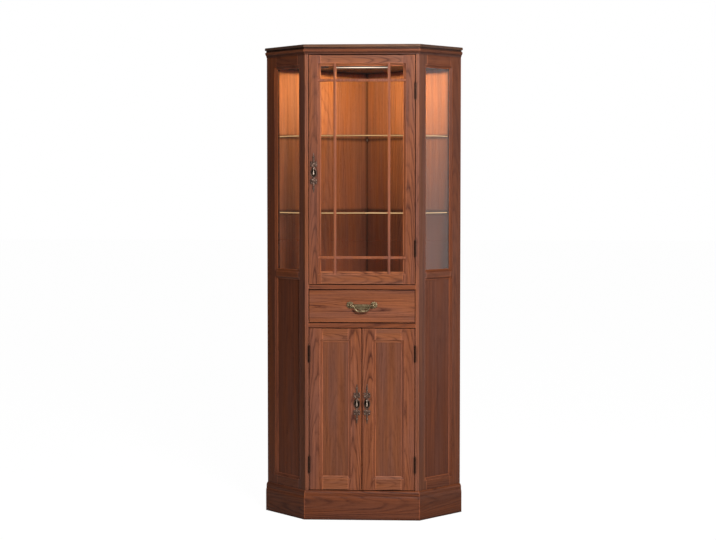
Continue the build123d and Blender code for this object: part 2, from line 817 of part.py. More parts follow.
with BuildPart() as drawer_sides:
    slab(front_face, box_inner, box_half, box_z, box_z + drawer_side_height, frame_t, box_rear)
    slab(
        front_face, box_inner, box_inner + drawer_groove, *groove_levels, frame_t, box_rear, Mode.SUBTRACT,
    )
    mirror(about=Plane.YZ)
finish(drawer_sides, "drawer_sides")

with BuildPart() as drawer_back:
    slab(
        front_face, -box_inner, box_inner, groove_levels[1], box_z + drawer_side_height - drawer_back_drop,
        box_rear - drawer_back_t, box_rear,
    )
finish(drawer_back, "drawer_back")

with BuildPart() as drawer_bottom:
    bottom_half = box_inner + drawer_groove - fit
    slab(
        front_face, -bottom_half, bottom_half, bottom_z, bottom_z + drawer_bottom_t,
        frame_t - drawer_groove + fit, box_rear,
    )
finish(drawer_bottom, "drawer_bottom")

# Guides on the deck beside the drawer; their front ends also stop it
with BuildPart() as drawer_guides:
    slab(
        front_face, opening_half - guide_width, opening_half, drawer_deck_top,
        drawer_deck_top + guide_height, frame_t + fit, box_rear,
    )
    mirror(about=Plane.YZ)
finish(drawer_guides, "drawer_guides")

# Drawer handle
bail_pivot = Plane(origin=(0, case_y - bail_stand, handle_z), x_dir=(1, 0, 0), z_dir=(0, -1, 0))
post_inner_x = handle_half_span - post_ball_r

with BuildPart() as handle_plate:
    with BuildSketch(front_face) as outline:
        with Locations((0, handle_z)):
            Rectangle(2 * handle_half_span, handle_bar_height)
        for side in (-1, 1):
            with Locations((side * handle_half_span, handle_z)):
                Ellipse(*rose_size)
            for end in (-1, 1):
                with Locations((
                    side * (handle_half_span + rose_lobe_place[0]), handle_z + end * rose_lobe_place[1],
                )):
                    Circle(rose_lobe_r)
    extrude(outline.sketch, amount=handle_plate_t)
    for side in (-1, 1):
        with BuildSketch(front_face) as neck:
            with Locations((side * handle_half_span, handle_z)):
                Circle(post_neck_r)
        extrude(neck.sketch, amount=bail_stand)
        with Locations((side * handle_half_span, case_y - bail_stand, handle_z)):
            Sphere(post_ball_r)
    with BuildSketch(Plane(origin=bail_pivot.origin, z_dir=(1, 0, 0))) as bore:
        Circle(bail_end_r + pin_bore_gap)
    extrude(bore.sketch, amount=handle_half_span + bail_end_r + fit, both=True, mode=Mode.SUBTRACT)
finish(handle_plate, "handle_plate")

with BuildPart() as drawer_bail:
    wire_end = post_inner_x - fit
    bend = handle_half_span - bail_neck
    low = bend - bail_lean
    with BuildLine(bail_pivot) as wire:
        FilletPolyline(
            (-wire_end, 0), (-bend, 0), (-low, -bail_drop), (low, -bail_drop), (bend, 0), (wire_end, 0),
            radius=(bail_bend_r, bail_lower_r, bail_lower_r, bail_bend_r),
        )
    with BuildSketch(Plane(origin=wire.line @ 0, z_dir=wire.line % 0)) as wire_section:
        Circle(bail_r)
    sweep(wire_section.sketch, path=wire.line)
    for side in (-1, 1):
        with BuildSketch(Plane(origin=wire.line @ (0 if side < 0 else 1), z_dir=(side, 0, 0))) as end:
            Circle(bail_end_r)
        extrude(end.sketch, amount=handle_half_span - wire_end)
    with BuildSketch(bail_pivot) as knop_profile:
        with BuildLine():
            Polyline((-knop_half, -bail_drop), (knop_half, -bail_drop))
            ThreePointArc((-knop_half, -bail_drop), (0, knop_r - bail_drop), (knop_half, -bail_drop))
        make_face()
    knop_axis = Axis((0, case_y - bail_stand, handle_z - bail_drop), (1, 0, 0))
    revolve(knop_profile.sketch, axis=knop_axis, revolution_arc=360)
finish(drawer_bail, "drawer_bail")
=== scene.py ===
"""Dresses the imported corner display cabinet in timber, glass and aged brass, and lights it in a plain studio.

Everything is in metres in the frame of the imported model: +Z up, the front towards -Y, the floor at Z = 0.
"""

from __future__ import annotations

import logging
import math
from dataclasses import dataclass, field
from enum import Enum
from functools import reduce
from typing import Iterable, Sequence

import bmesh
import bpy
from mathutils import Matrix, Vector


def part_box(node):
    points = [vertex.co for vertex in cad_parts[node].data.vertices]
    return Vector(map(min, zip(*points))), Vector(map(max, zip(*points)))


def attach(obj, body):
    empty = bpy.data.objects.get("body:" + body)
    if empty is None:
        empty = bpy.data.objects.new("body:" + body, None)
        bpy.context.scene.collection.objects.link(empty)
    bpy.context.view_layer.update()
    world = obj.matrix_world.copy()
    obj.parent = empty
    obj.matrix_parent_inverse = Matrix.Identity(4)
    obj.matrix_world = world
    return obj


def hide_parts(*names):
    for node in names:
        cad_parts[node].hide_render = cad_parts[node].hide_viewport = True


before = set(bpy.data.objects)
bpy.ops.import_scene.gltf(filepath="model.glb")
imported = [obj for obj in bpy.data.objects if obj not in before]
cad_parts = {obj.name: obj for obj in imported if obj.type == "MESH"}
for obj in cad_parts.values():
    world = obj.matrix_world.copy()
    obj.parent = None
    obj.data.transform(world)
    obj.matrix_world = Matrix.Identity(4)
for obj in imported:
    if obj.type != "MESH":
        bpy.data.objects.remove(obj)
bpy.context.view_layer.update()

LOG = logging.getLogger("cabinet")
MM = 0.001

Colour = tuple[float, float, float]
Place = tuple[float, float, float]

# How far the noise moves from board to board, and how far the tree's heart strays, in metres.
BOARD_STEP = (3.17, 1.73, 0.91)
HEART_WANDER, HEART_SWAY, HEART_LEAN = 11 * MM, 35 * MM, 20 * MM
# How wavy a growth ring is, in rings, and its tones from one side to the other.
RING_RIPPLE = 0.55
RING_TONES = ((0.0, 0.0), (0.10, 0.12), (0.34, 0.78), (0.72, 1.0), (0.90, 0.62), (1.0, 0.0))
# How much a pore darkens and roughens the face, and how deep the grain lies.
PORE_DARK, PORE_ROUGH = 0.28, 0.15
GRAIN_RELIEF = 0.25 * MM
# The stain's drift, the width of a rubbed edge that also carries a painted highlight, and the lacquer.
COOL_STAIN, WARM_STAIN = (0.94, 0.99, 1.13), (1.10, 1.01, 0.78)
EDGE_REACH = 4.0 * MM
COAT_ROUGHNESS = 0.22
# Painted shade in a band along the bottom of a moulding: its colour, and how much of it covers.
BAND_SHADE_COLOUR, BAND_SHADE_SHARE = (0.018, 0.004, 0.003), 0.62
# What a left-hand copy, and the second board of a pair, add to a board's seed.
LEFT_COPY_SEED, LEFT_MEMBER_SEED = 2.7, 1.9
NOISE_MIDDLE = 0.5
UNLIT = (0.0, 0.0, 0.0)


# Node trees ------------------------------------------------------------------------------------
class Graph:
    """Adds and joins the nodes of one node tree."""

    def __init__(self, tree: bpy.types.NodeTree) -> None:
        """Start on an existing tree.

        Args:
            tree: The node tree that the nodes go into.
        """
        self.tree = tree

    def add(self, kind: str, **settings: object) -> bpy.types.Node:
        """Add a node.

        Args:
            kind: Blender's name for the type of node.
            settings: Properties of the node, by name.

        Returns:
            The new node.
        """
        node = self.tree.nodes.new(kind)
        for name, value in settings.items():
            setattr(node, name, value)
        return node

    def feed(self, value: object, socket: bpy.types.NodeSocket) -> None:
        """Link a socket to another, or set its value.

        Args:
            value: An output socket, a number, a vector or a colour.
            socket: The input that receives it.
        """
        if isinstance(value, bpy.types.NodeSocket):
            self.tree.links.new(value, socket)
        elif isinstance(value, tuple) and len(value) == 3 and socket.type == "RGBA":
            socket.default_value = (*value, 1.0)
        else:
            socket.default_value = value

    def feed_all(self, node: bpy.types.Node, values: dict[str, object]) -> bpy.types.Node:
        """Feed several inputs of a node.

        Args:
            node: The node.
            values: What each input receives, by the input's name.

        Returns:
            The same node.
        """
        for name, value in values.items():
            self.feed(value, node.inputs[name])
        return node

    def group(self, tree: bpy.types.NodeTree, values: dict[str, object]) -> bpy.types.NodeOutputs:
        """Place a node group, feed its inputs by name, and hand back its outputs."""
        return self.feed_all(self.add("ShaderNodeGroup", node_tree=tree), values).outputs

    def math(self, operation: str, *values: object, clamp: bool = False) -> bpy.types.NodeSocket:
        """Work on one to three numbers.

        Args:
            operation: Name of the operation.
            values: Sockets or numbers, in the operation's order.
            clamp: Whether the result is kept between 0 and 1.

        Returns:
            The result's socket.
        """
        node = self.add("ShaderNodeMath", operation=operation, use_clamp=clamp)
        for value, socket in zip(values, node.inputs):
            self.feed(value, socket)
        return node.outputs[0]

    def total(self, *values: object) -> bpy.types.NodeSocket:
        """The sum of several numbers."""
        return reduce(lambda first, second: self.math("ADD", first, second), values)

    def product(self, *values: object) -> bpy.types.NodeSocket:
        """The product of several numbers."""
        return reduce(lambda first, second: self.math("MULTIPLY", first, second), values)

    def vector(self, operation: str, *values: object, output: str = "Vector") -> bpy.types.NodeSocket:
        """Work on vectors.

        Args:
            operation: Name of the operation.
            values: Sockets or triples, in the operation's order.
            output: The output wanted, Vector or Value.

        Returns:
            The result's socket.
        """
        node = self.add("ShaderNodeVectorMath", operation=operation)
        for value, socket in zip(values, node.inputs):
            self.feed(value, socket)
        return node.outputs[output]

    def parts(self, vector: bpy.types.NodeSocket) -> bpy.types.NodeOutputs:
        """The three numbers of a vector."""
        node = self.add("ShaderNodeSeparateXYZ")
        self.feed(vector, node.inputs[0])
        return node.outputs

    def whole(self, x: object, y: object, z: object) -> bpy.types.NodeSocket:
        """A vector made of three numbers."""
        node = self.add("ShaderNodeCombineXYZ")
        for value, socket in zip((x, y, z), node.inputs):
            self.feed(value, socket)
        return node.outputs[0]

    def noise(
        self, vector: bpy.types.NodeSocket, stretch: Place, detail: float = 2.0, roughness: float = 0.5
    ) -> bpy.types.NodeSocket:
        """Soft noise with its own scale along each axis.

        Args:
            vector: Where the noise is read.
            stretch: Features per metre along each axis.
            detail: Octaves of finer noise.
            roughness: Weight of the finer octaves.

        Returns:
            A value of about 0.3 to 0.7.
        """
        node = self.feed_all(self.add("ShaderNodeTexNoise"), {
            "Vector": self.vector("MULTIPLY", vector, stretch), "Scale": 1.0, "Detail": detail,
            "Roughness": roughness,
        })
        return node.outputs["Fac"]

    def swing(self, vector: bpy.types.NodeSocket, stretch: Place, detail: float) -> bpy.types.NodeSocket:
        """Soft noise with its own scale along each axis, which swings about 0."""
        return self.math("SUBTRACT", self.noise(vector, stretch, detail), NOISE_MIDDLE)

    def remap(
        self, value: bpy.types.NodeSocket, low: float, high: float, to_low: float = 0.0, to_high: float = 1.0
    ) -> bpy.types.NodeSocket:
        """Stretch a range of a value onto another range, and clamp it there.

        Args:
            value: The value's socket.
            low: Start of the range that is read.
            high: End of the range that is read.
            to_low: What the start becomes.
            to_high: What the end becomes.

        Returns:
            The new value's socket.
        """
        node = self.add("ShaderNodeMapRange", clamp=True)
        for value_in, socket in zip((value, low, high, to_low, to_high), node.inputs):
            self.feed(value_in, socket)
        return node.outputs[0]

    def curve(self, value: bpy.types.NodeSocket, stops: Sequence[tuple[float, float]]) -> bpy.types.NodeSocket:
        """A value read through a row of grey stops.

        Args:
            value: The value's socket, 0 to 1.
            stops: Pairs of place and grey level, in order.

        Returns:
            The grey level's socket.
        """
        node = self.add("ShaderNodeValToRGB")
        ramp = node.color_ramp
        while len(ramp.elements) < len(stops):
            ramp.elements.new(1.0)
        for element, (place, level) in zip(ramp.elements, stops):
            element.position = place
            element.color = (level, level, level, 1.0)
        self.feed(value, node.inputs[0])
        return node.outputs[0]

    def blend(self, factor: object, first: object, second: object, mode: str = "MIX") -> bpy.types.NodeSocket:
        """Mix two colours.

        Args:
            factor: How much of the second colour there is.
            first: The first colour.
            second: The second colour.
            mode: How they mix.

        Returns:
            The mixed colour's socket.
        """
        node = self.add("ShaderNodeMix", data_type="RGBA", blend_type=mode)
        self.feed(factor, node.inputs["Factor"])
        self.feed(first, node.inputs[6])
        self.feed(second, node.inputs[7])
        return node.outputs[2]

    def shade(self, colour: object, level: bpy.types.NodeSocket) -> bpy.types.NodeSocket:
        """A colour made darker or lighter by a grey level."""
        return self.blend(1.0, colour, self.whole(level, level, level), "MULTIPLY")


def new_group(
    name: str, inputs: Sequence[tuple[str, str]], outputs: Sequence[tuple[str, str]]
) -> tuple[bpy.types.NodeTree, Graph, bpy.types.NodeOutputs, bpy.types.NodeInputs]:
    """Start a shader node group.

    Args:
        name: The group's name.
        inputs: Name and type of each input, the type being Float, Vector or Color.
        outputs: The same for each output.

    Returns:
        The group, a graph to build it with, its inputs as sockets to read, and its outputs as sockets to feed.
    """
    tree = bpy.data.node_groups.new(name, "ShaderNodeTree")
    for label, kind in inputs:
        tree.interface.new_socket(label, in_out="INPUT", socket_type=f"NodeSocket{kind}")
    for label, kind in outputs:
        tree.interface.new_socket(label, in_out="OUTPUT", socket_type=f"NodeSocket{kind}")
    graph = Graph(tree)
    return tree, graph, graph.add("NodeGroupInput").outputs, graph.add("NodeGroupOutput").inputs


def timber_group() -> bpy.types.NodeTree:
    """The grain of a plain-sawn, open-grained board.

    X runs along the grain, Y across the board and Z into it, in metres from its middle. The growth rings are
    cones round a heart that lies under the face, so the face cuts them in nested arches.

    Returns:
        The node group.
    """
    tree, g, given, out = new_group(
        "Timber grain",
        [("Vector", "Vector"), ("Board", "Float"), ("Ring", "Float"), ("Heart", "Float"), ("Taper", "Float"),
         ("Depth of grain", "Float"), ("Dark", "Color"), ("Light", "Color")],
        [("Colour", "Color"), ("Roughness", "Float"), ("Height", "Float")],
    )
    board, place = given["Board"], given["Vector"]
    spot = g.vector("ADD", place, g.whole(*(g.product(board, step) for step in BOARD_STEP)))
    along, across, inward = g.parts(place)

    wander = g.product(g.math("SINE", g.product(board, 12.9)), HEART_WANDER)
    sway = g.product(g.swing(spot, (1.8, 5.0, 5.0), 1.0), HEART_SWAY)
    lean = g.product(g.swing(spot, (3.1, 9.0, 9.0), 2.0), HEART_LEAN)
    ripple = g.product(g.swing(spot, (22.0, 90.0, 90.0), 3.0), RING_RIPPLE)
    rise = g.total(given["Heart"], g.product(along, given["Taper"]))
    from_heart = g.whole(0.0, g.total(across, wander, sway), g.total(inward, rise, lean))
    radius = g.vector("LENGTH", from_heart, output="Value")
    count = g.total(g.math("DIVIDE", radius, given["Ring"]), ripple)

    year = g.add("ShaderNodeTexWhiteNoise", noise_dimensions="1D")
    g.feed(g.total(g.math("FLOOR", count), board), year.inputs["W"])
    summer = g.curve(g.math("FRACT", count), RING_TONES)
    clear_year = g.remap(year.outputs["Value"], 0.0, 1.0, 0.25, 1.0)
    fading = g.remap(g.noise(spot, (4.0, 40.0, 40.0), 2.0), 0.35, 0.6, 0.35, 1.0)
    strength = g.product(clear_year, fading, given["Depth of grain"])
    rings = g.math("SUBTRACT", 1.0, g.product(strength, g.math("SUBTRACT", 1.0, summer)))

    fibres = g.noise(spot, (9.0, 420.0, 420.0), 3.0, 0.6)
    streaks = g.noise(spot, (3.0, 130.0, 130.0), 3.0, 0.6)
    pore = g.remap(g.noise(spot, (45.0, 950.0, 950.0), 1.0), 0.57, 0.66)
    pores = g.product(pore, g.remap(summer, 0.2, 1.0, 1.0, 0.35))
    cloud = g.noise(spot, (1.3, 4.0, 4.0), 2.0)

    tone = g.product(
        rings, g.remap(streaks, 0.34, 0.66, 0.60, 1.0), g.remap(fibres, 0.3, 0.7, 0.82, 1.0),
        g.remap(cloud, 0.3, 0.7, 0.80, 1.06),
    )
    tone = g.math("SUBTRACT", tone, g.product(pores, PORE_DARK), clamp=True)
    drift = g.remap(g.noise(spot, (2.2, 26.0, 26.0), 2.0), 0.36, 0.64)
    stained = g.blend(tone, given["Dark"], given["Light"])
    g.feed(g.blend(1.0, stained, g.blend(drift, COOL_STAIN, WARM_STAIN), "MULTIPLY"), out["Colour"])

    g.feed(g.total(g.remap(tone, 0.2, 1.0, 0.44, 0.29), g.product(pores, PORE_ROUGH)), out["Roughness"])
    grooves = g.total(g.product(pores, -1.0), g.product(g.remap(summer, 0.0, 0.4), 0.35))
    g.feed(g.total(grooves, g.product(fibres, 0.3)), out["Height"])
    return tree


def tarnish_group() -> bpy.types.NodeTree:
    """Brown tarnish that lies in the hollows of a casting and is rubbed off its high spots.

    Returns:
        The node group.
    """
    tree, g, given, out = new_group(
        "Tarnish",
        [("Vector", "Vector"), ("Rub", "Float"), ("Tarnished", "Color"), ("Bright", "Color")],
        [("Colour", "Color"), ("Roughness", "Float"), ("Height", "Float")],
    )
    high = g.remap(g.add("ShaderNodeNewGeometry").outputs["Pointiness"], 0.47, 0.56)
    mottle = g.noise(given["Vector"], (160.0, 160.0, 160.0), 3.0, 0.6)
    sand = g.noise(given["Vector"], (900.0, 900.0, 900.0), 2.0, 0.6)
    bare = g.product(high, g.remap(mottle, 0.3, 0.62, 0.35, 1.0), given["Rub"])
    bare = g.math("ADD", bare, g.remap(mottle, 0.52, 0.75, 0.0, 0.3), clamp=True)
    g.feed(g.blend(bare, given["Tarnished"], given["Bright"]), out["Colour"])
    g.feed(g.total(g.remap(bare, 0.0, 1.0, 0.52, 0.27), g.remap(sand, 0.3, 0.7, -0.04, 0.06)), out["Roughness"])
    g.feed(g.total(g.product(mottle, 0.6), g.product(sand, 0.4)), out["Height"])
    return tree


def speckle_group() -> bpy.types.NodeTree:
    """Small unevenness of a worked surface: a colour that drifts, and fine dents or brush lines.

    Returns:
        The node group.
    """
    tree, g, given, out = new_group(
        "Speckle",
        [("Vector", "Vector"), ("Stretch", "Vector"), ("Drift", "Float"), ("Colour", "Color"), ("Gloss", "Float")],
        [("Colour", "Color"), ("Roughness", "Float"), ("Height", "Float")],
    )
    fine = g.noise(g.vector("MULTIPLY", given["Vector"], given["Stretch"]), (1.0, 1.0, 1.0), 3.0, 0.6)
    broad_drift = g.product(g.swing(given["Vector"], (23.0, 23.0, 23.0), 2.0), given["Drift"])
    fine_drift = g.product(g.math("SUBTRACT", fine, NOISE_MIDDLE), given["Drift"])
    g.feed(g.shade(given["Colour"], g.total(1.0, g.total(broad_drift, fine_drift))), out["Colour"])
    g.feed(g.total(given["Gloss"], g.remap(fine, 0.3, 0.7, -0.05, 0.07)), out["Roughness"])
    g.feed(fine, out["Height"])
    return tree


def wear_and_painted_light_group() -> bpy.types.NodeTree:
    """Edges that are rubbed lighter and carry a painted highlight, and hollows darkened by painted shade.

    Returns:
        The node group.
    """
    tree, g, given, out = new_group(
        "Rubbed edges and painted light", [("Colour", "Color"), ("Rub", "Float"), ("Hollow shade level", "Float"), ("Reach", "Float")],
        [("Colour", "Color")],
    )
    # Painted highlight: edges are lightened, partly as rubbed wear, partly as the light they catch.
    rounded = g.add("ShaderNodeBevel", samples=8)
    g.feed(EDGE_REACH, rounded.inputs["Radius"])
    flat = g.add("ShaderNodeNewGeometry").outputs["Normal"]
    turn = g.vector("DOT_PRODUCT", rounded.outputs[0], flat, output="Value")
    edge = g.total(1.0, g.product(g.remap(turn, 0.997, 0.93), given["Rub"]))
    # Painted shade: the hollows that ambient occlusion finds are darkened.
    hollow = g.add("ShaderNodeAmbientOcclusion", samples=8)
    g.feed(given["Reach"], hollow.inputs["Distance"])
    open_share = g.remap(hollow.outputs["AO"], 0.45, 0.95)
    left = g.total(given["Hollow shade level"], g.product(open_share, g.math("SUBTRACT", 1.0, given["Hollow shade level"])))
    g.feed(g.shade(given["Colour"], g.product(edge, left)), out["Colour"])
    return tree


@dataclass(frozen=True)
class EffectGroups:
    """The node groups that several finishes share."""

    timber: bpy.types.NodeTree = field(default_factory=timber_group)
    tarnish: bpy.types.NodeTree = field(default_factory=tarnish_group)
    speckle: bpy.types.NodeTree = field(default_factory=speckle_group)
    # Rubbed edges with a painted highlight, and painted shade in the hollows.
    wear: bpy.types.NodeTree = field(default_factory=wear_and_painted_light_group)


EFFECTS = EffectGroups()


# Finishes --------------------------------------------------------------------------------------
def start_material(name: str) -> tuple[bpy.types.Material, Graph, bpy.types.Node]:
    """Make a material with one principled shader.

    Args:
        name: The material's name.

    Returns:
        The material, a graph to build it with, and its shader.
    """
    material = bpy.data.materials.new(name)
    material.use_nodes = True
    return material, Graph(material.node_tree), material.node_tree.nodes["Principled BSDF"]


def dress_shader(
    g: Graph, shader: bpy.types.Node, effect: bpy.types.NodeOutputs, bump_strength: float, bump_distance: float
) -> None:
    """Join an effect group's colour, roughness and height to a shader.

    Args:
        g: The material's graph.
        shader: The principled shader.
        effect: The placed group's outputs.
        bump_strength: Strength of the relief.
        bump_distance: Height of the relief in metres.
    """
    bump = g.feed_all(
        g.add("ShaderNodeBump"), {"Strength": bump_strength, "Distance": bump_distance, "Height": effect["Height"]},
    )
    g.feed_all(shader, {
        "Normal": bump.outputs["Normal"], "Base Color": effect["Colour"], "Roughness": effect["Roughness"],
    })


def mix_surface(
    g: Graph, material: bpy.types.Material, factor: bpy.types.NodeSocket, first: bpy.types.Node,
    second: bpy.types.Node,
) -> None:
    """Mix two shaders into a material's surface.

    Args:
        g: The material's graph.
        material: The material.
        factor: How much of the second shader there is.
        first: The first shader.
        second: The second shader.
    """
    mixed = g.add("ShaderNodeMixShader")
    for value, socket in zip((factor, first.outputs[0], second.outputs[0]), mixed.inputs):
        g.feed(value, socket)
    g.feed(mixed.outputs[0], material.node_tree.nodes["Material Output"].inputs["Surface"])


def object_place(g: Graph) -> bpy.types.NodeSocket:
    """The place of a surface point in the model's frame."""
    return g.add("ShaderNodeTexCoord").outputs["Object"]


class Lie(Enum):
    """How a board lies: the direction of its grain, then the direction across it."""

    FRONT_UPRIGHT = ((0.0, 0.0, 1.0), (1.0, 0.0, 0.0))
    FRONT_LEVEL = ((1.0, 0.0, 0.0), (0.0, 0.0, 1.0))
    SIDE_UPRIGHT = ((0.0, 0.0, 1.0), (1.0, 1.0, 0.0))
    SIDE_LEVEL = ((1.0, 1.0, 0.0), (0.0, 0.0, 1.0))
    BACK_UPRIGHT = ((0.0, 0.0, 1.0), (-1.0, 1.0, 0.0))
    FLAT = ((1.0, 0.0, 0.0), (0.0, 1.0, 0.0))
    DRAWER_SIDE = ((0.0, 1.0, 0.0), (0.0, 0.0, 1.0))

    def turn(self) -> Matrix:
        """The rotation from the grain's axes to the model's."""
        along, across = (Vector(axis).normalized() for axis in self.value)
        return Matrix((along, across, along.cross(across))).transposed()


@dataclass(frozen=True)
class TimberFinish:
    """A stained and lacquered timber, whose colour also carries painted light: darker sides, lighter edges, darker
    hollows and a dark band.
    """

    name: str
    dark: Colour
    light: Colour
    grain: float = 0.75
    ring: float = 5.2 * MM
    coat: float = 0.06
    gloss: float = 0.25
    # Painted shade: the share of its colour that a face turned to the side keeps.
    side_shade: float = 1.0
    # How much lighter the edges are made: partly rubbed wear, partly a painted highlight.
    rub: float = 0.85
    # Painted shade: the share of its colour left in the deepest hollows; 1 leaves them alone.
    hollow_shade_level: float = 0.16
    reach: float = 14 * MM
    # Painted shade: the heights between which a dark band is laid under a moulding.
    shade_band: tuple[float, float] = (0.0, 0.0)

    def material(
        self, label: str, lie: Lie, middle: Vector, board: float, mirrored: bool = False, pair_half: float = 0.0,
        heart: float = 48 * MM, taper: float = 0.05,
    ) -> bpy.types.Material:
        """The finish on one board, or on a pair of boards that share a node.

        Args:
            label: Name of the board.
            lie: How it lies.
            middle: Its middle, or for a mirrored pair the middle of the right-hand one.
            board: A number of its own, which picks its piece of the tree.
            mirrored: Whether the node holds a left-hand copy too.
            pair_half: Half the distance between the middles of two boards side by side, or 0 for one board.
            heart: Depth of the tree's heart under the face.
            taper: How fast the rings rise along the board.

        Returns:
            The material.
        """
        material, g, shader = start_material(f"{self.name}.{label}")
        place: bpy.types.NodeSocket = object_place(g)
        seed: object = board
        if mirrored:
            x, y, z = g.parts(place)
            place = g.whole(g.math("ABSOLUTE", x), y, z)
            seed = g.total(board, g.product(g.math("LESS_THAN", x, 0.0), LEFT_COPY_SEED))
        centre = g.add("ShaderNodeMapping", vector_type="TEXTURE")
        g.feed_all(centre, {"Vector": place, "Location": middle, "Rotation": lie.turn().to_euler()})
        local = centre.outputs[0]
        if pair_half:
            along, across, inward = g.parts(local)
            seed = g.total(seed, g.product(g.math("LESS_THAN", across, 0.0), LEFT_MEMBER_SEED))
            local = g.whole(along, g.math("SUBTRACT", g.math("ABSOLUTE", across), pair_half), inward)
        # Painted shade: faces that turn towards the sides get both timber colours scaled by the side shade factor, so
        # they render darker than the front.
        facing = g.math("ABSOLUTE", g.parts(g.add("ShaderNodeTexCoord").outputs["Normal"])[0])
        side_shaded = g.remap(facing, 0.35, 0.65)
        dark, light = (
            g.blend(side_shaded, colour, tuple(part * self.side_shade for part in colour)) for colour in (self.dark, self.light)
        )
        grain = g.group(EFFECTS.timber, {
            "Vector": local, "Board": seed, "Ring": self.ring, "Heart": heart, "Taper": taper,
            "Depth of grain": self.grain, "Dark": dark, "Light": light,
        })
        dress_shader(g, shader, grain, 0.5, GRAIN_RELIEF)
        # Painted light: edges lightened as highlight and wear, hollows darkened as shade.
        colour = g.group(EFFECTS.wear, {
            "Colour": grain["Colour"], "Rub": self.rub, "Hollow shade level": self.hollow_shade_level, "Reach": self.reach,
        })["Colour"]
        # Painted shade: a dark band between two heights, under a moulding.
        low, high = self.shade_band
        if high > low:
            height = g.parts(object_place(g))[2]
            inside = g.product(g.remap(height, low - MM, low), g.remap(height, high + MM, high - MM))
            colour = g.blend(g.product(inside, BAND_SHADE_SHARE), colour, BAND_SHADE_COLOUR)
        g.feed_all(shader, {
            "Base Color": colour, "Specular IOR Level": self.gloss, "Coat Weight": self.coat,
            "Coat Roughness": COAT_ROUGHNESS,
        })
        return material


@dataclass(frozen=True)
class BrassFinish:
    """Cast brass, antiqued and rubbed."""

    name: str
    tarnished: Colour
    bright: Colour
    rub: float

    def material(self) -> bpy.types.Material:
        """The finish as a material."""
        material, g, shader = start_material(self.name)
        effect = g.group(EFFECTS.tarnish, {
            "Vector": object_place(g), "Rub": self.rub, "Tarnished": self.tarnished, "Bright": self.bright,
        })
        dress_shader(g, shader, effect, 0.35, 0.2 * MM)
        g.feed(1.0, shader.inputs["Metallic"])
        return material


@dataclass(frozen=True)
class PlainFinish:
    """A moulded, drawn or brushed surface of one colour."""

    name: str
    colour: Colour
    gloss: float
    stretch: Place
    metallic: float = 0.0
    drift: float = 0.12
    relief: float = 0.05 * MM
    glow: Colour = UNLIT
    glow_strength: float = 0.0

    def material(self) -> bpy.types.Material:
        """The finish as a material."""
        material, g, shader = start_material(self.name)
        effect = g.group(EFFECTS.speckle, {
            "Vector": object_place(g), "Stretch": self.stretch, "Drift": self.drift, "Colour": self.colour,
            "Gloss": self.gloss,
        })
        dress_shader(g, shader, effect, 0.3, self.relief)
        g.feed(self.metallic, shader.inputs["Metallic"])
        if self.glow_strength:
            facing = g.parts(g.add("ShaderNodeTexCoord").outputs["Normal"])[1]
            front = g.remap(facing, -0.9, -0.5, 1.0, 0.03)
            from_middle = g.math("ABSOLUTE", g.parts(object_place(g))[0])
            lit = g.product(front, g.remap(from_middle, 0.02, 0.13, 1.0, 0.35))
            g.feed_all(shader, {
                "Emission Color": g.blend(lit, UNLIT, self.glow), "Emission Strength": self.glow_strength,
            })
        return material


@dataclass(frozen=True)
class GlassFinish:
    """Clear float glass that lets the lamps' light through."""

    name: str
    tint: Colour
    body: Colour = (1.0, 1.0, 1.0)
    # A painted glow on the pane's edges, standing for light caught in the glass.
    painted_edge_glow: Colour = UNLIT

    def material(self) -> bpy.types.Material:
        """The finish as a material."""
        material, g, shader = start_material(self.name)
        smear = g.noise(object_place(g), (9.0, 9.0, 16.0), 3.0, 0.6)
        g.feed_all(shader, {
            "Base Color": self.body, "Roughness": g.remap(smear, 0.45, 0.8, 0.0, 0.05), "IOR": 1.45,
            "Transmission Weight": 1.0,
        })
        # Painted light: the edges, where the face stops being level, emit the edge glow.
        if self.painted_edge_glow != UNLIT:
            upright = g.math("ABSOLUTE", g.parts(g.add("ShaderNodeTexCoord").outputs["Normal"])[2])
            glow = g.blend(g.remap(upright, 0.6, 0.2), UNLIT, self.painted_edge_glow)
            g.feed_all(shader, {"Emission Color": glow, "Emission Strength": 1.0})
        clear = g.add("ShaderNodeBsdfTransparent")
        g.feed(self.tint, clear.inputs["Color"])
        path = g.add("ShaderNodeLightPath").outputs
        mix_surface(g, material, g.math("MAXIMUM", path["Is Shadow Ray"], path["Is Diffuse Ray"]), shader, clear)
        return material


CASE_TIMBER = TimberFinish("stained_case", (0.070, 0.014, 0.006), (0.37, 0.112, 0.048), grain=0.75, side_shade=0.58)
# The posts' strong rub lightens their edges, partly as wear, partly as a painted highlight.
POST_TIMBER = TimberFinish("stained_post", (0.085, 0.022, 0.012), (0.43, 0.150, 0.082), grain=0.5, side_shade=0.50, rub=1.6)
# Painted shade: darker copies of the case timber for the side frames and side panels.
SHADED_FLANK_TIMBER = TimberFinish("stained_flank_painted_shade", (0.060, 0.012, 0.005), (0.26, 0.076, 0.032), grain=0.7, side_shade=0.85)
SHADED_SIDE_TIMBER = TimberFinish("stained_side_painted_shade", (0.075, 0.016, 0.007), (0.34, 0.094, 0.040), grain=0.3, side_shade=0.58)
BASE_TIMBER = TimberFinish("stained_base", (0.060, 0.012, 0.005), (0.31, 0.088, 0.034), grain=0.9, rub=1.2, side_shade=0.66)
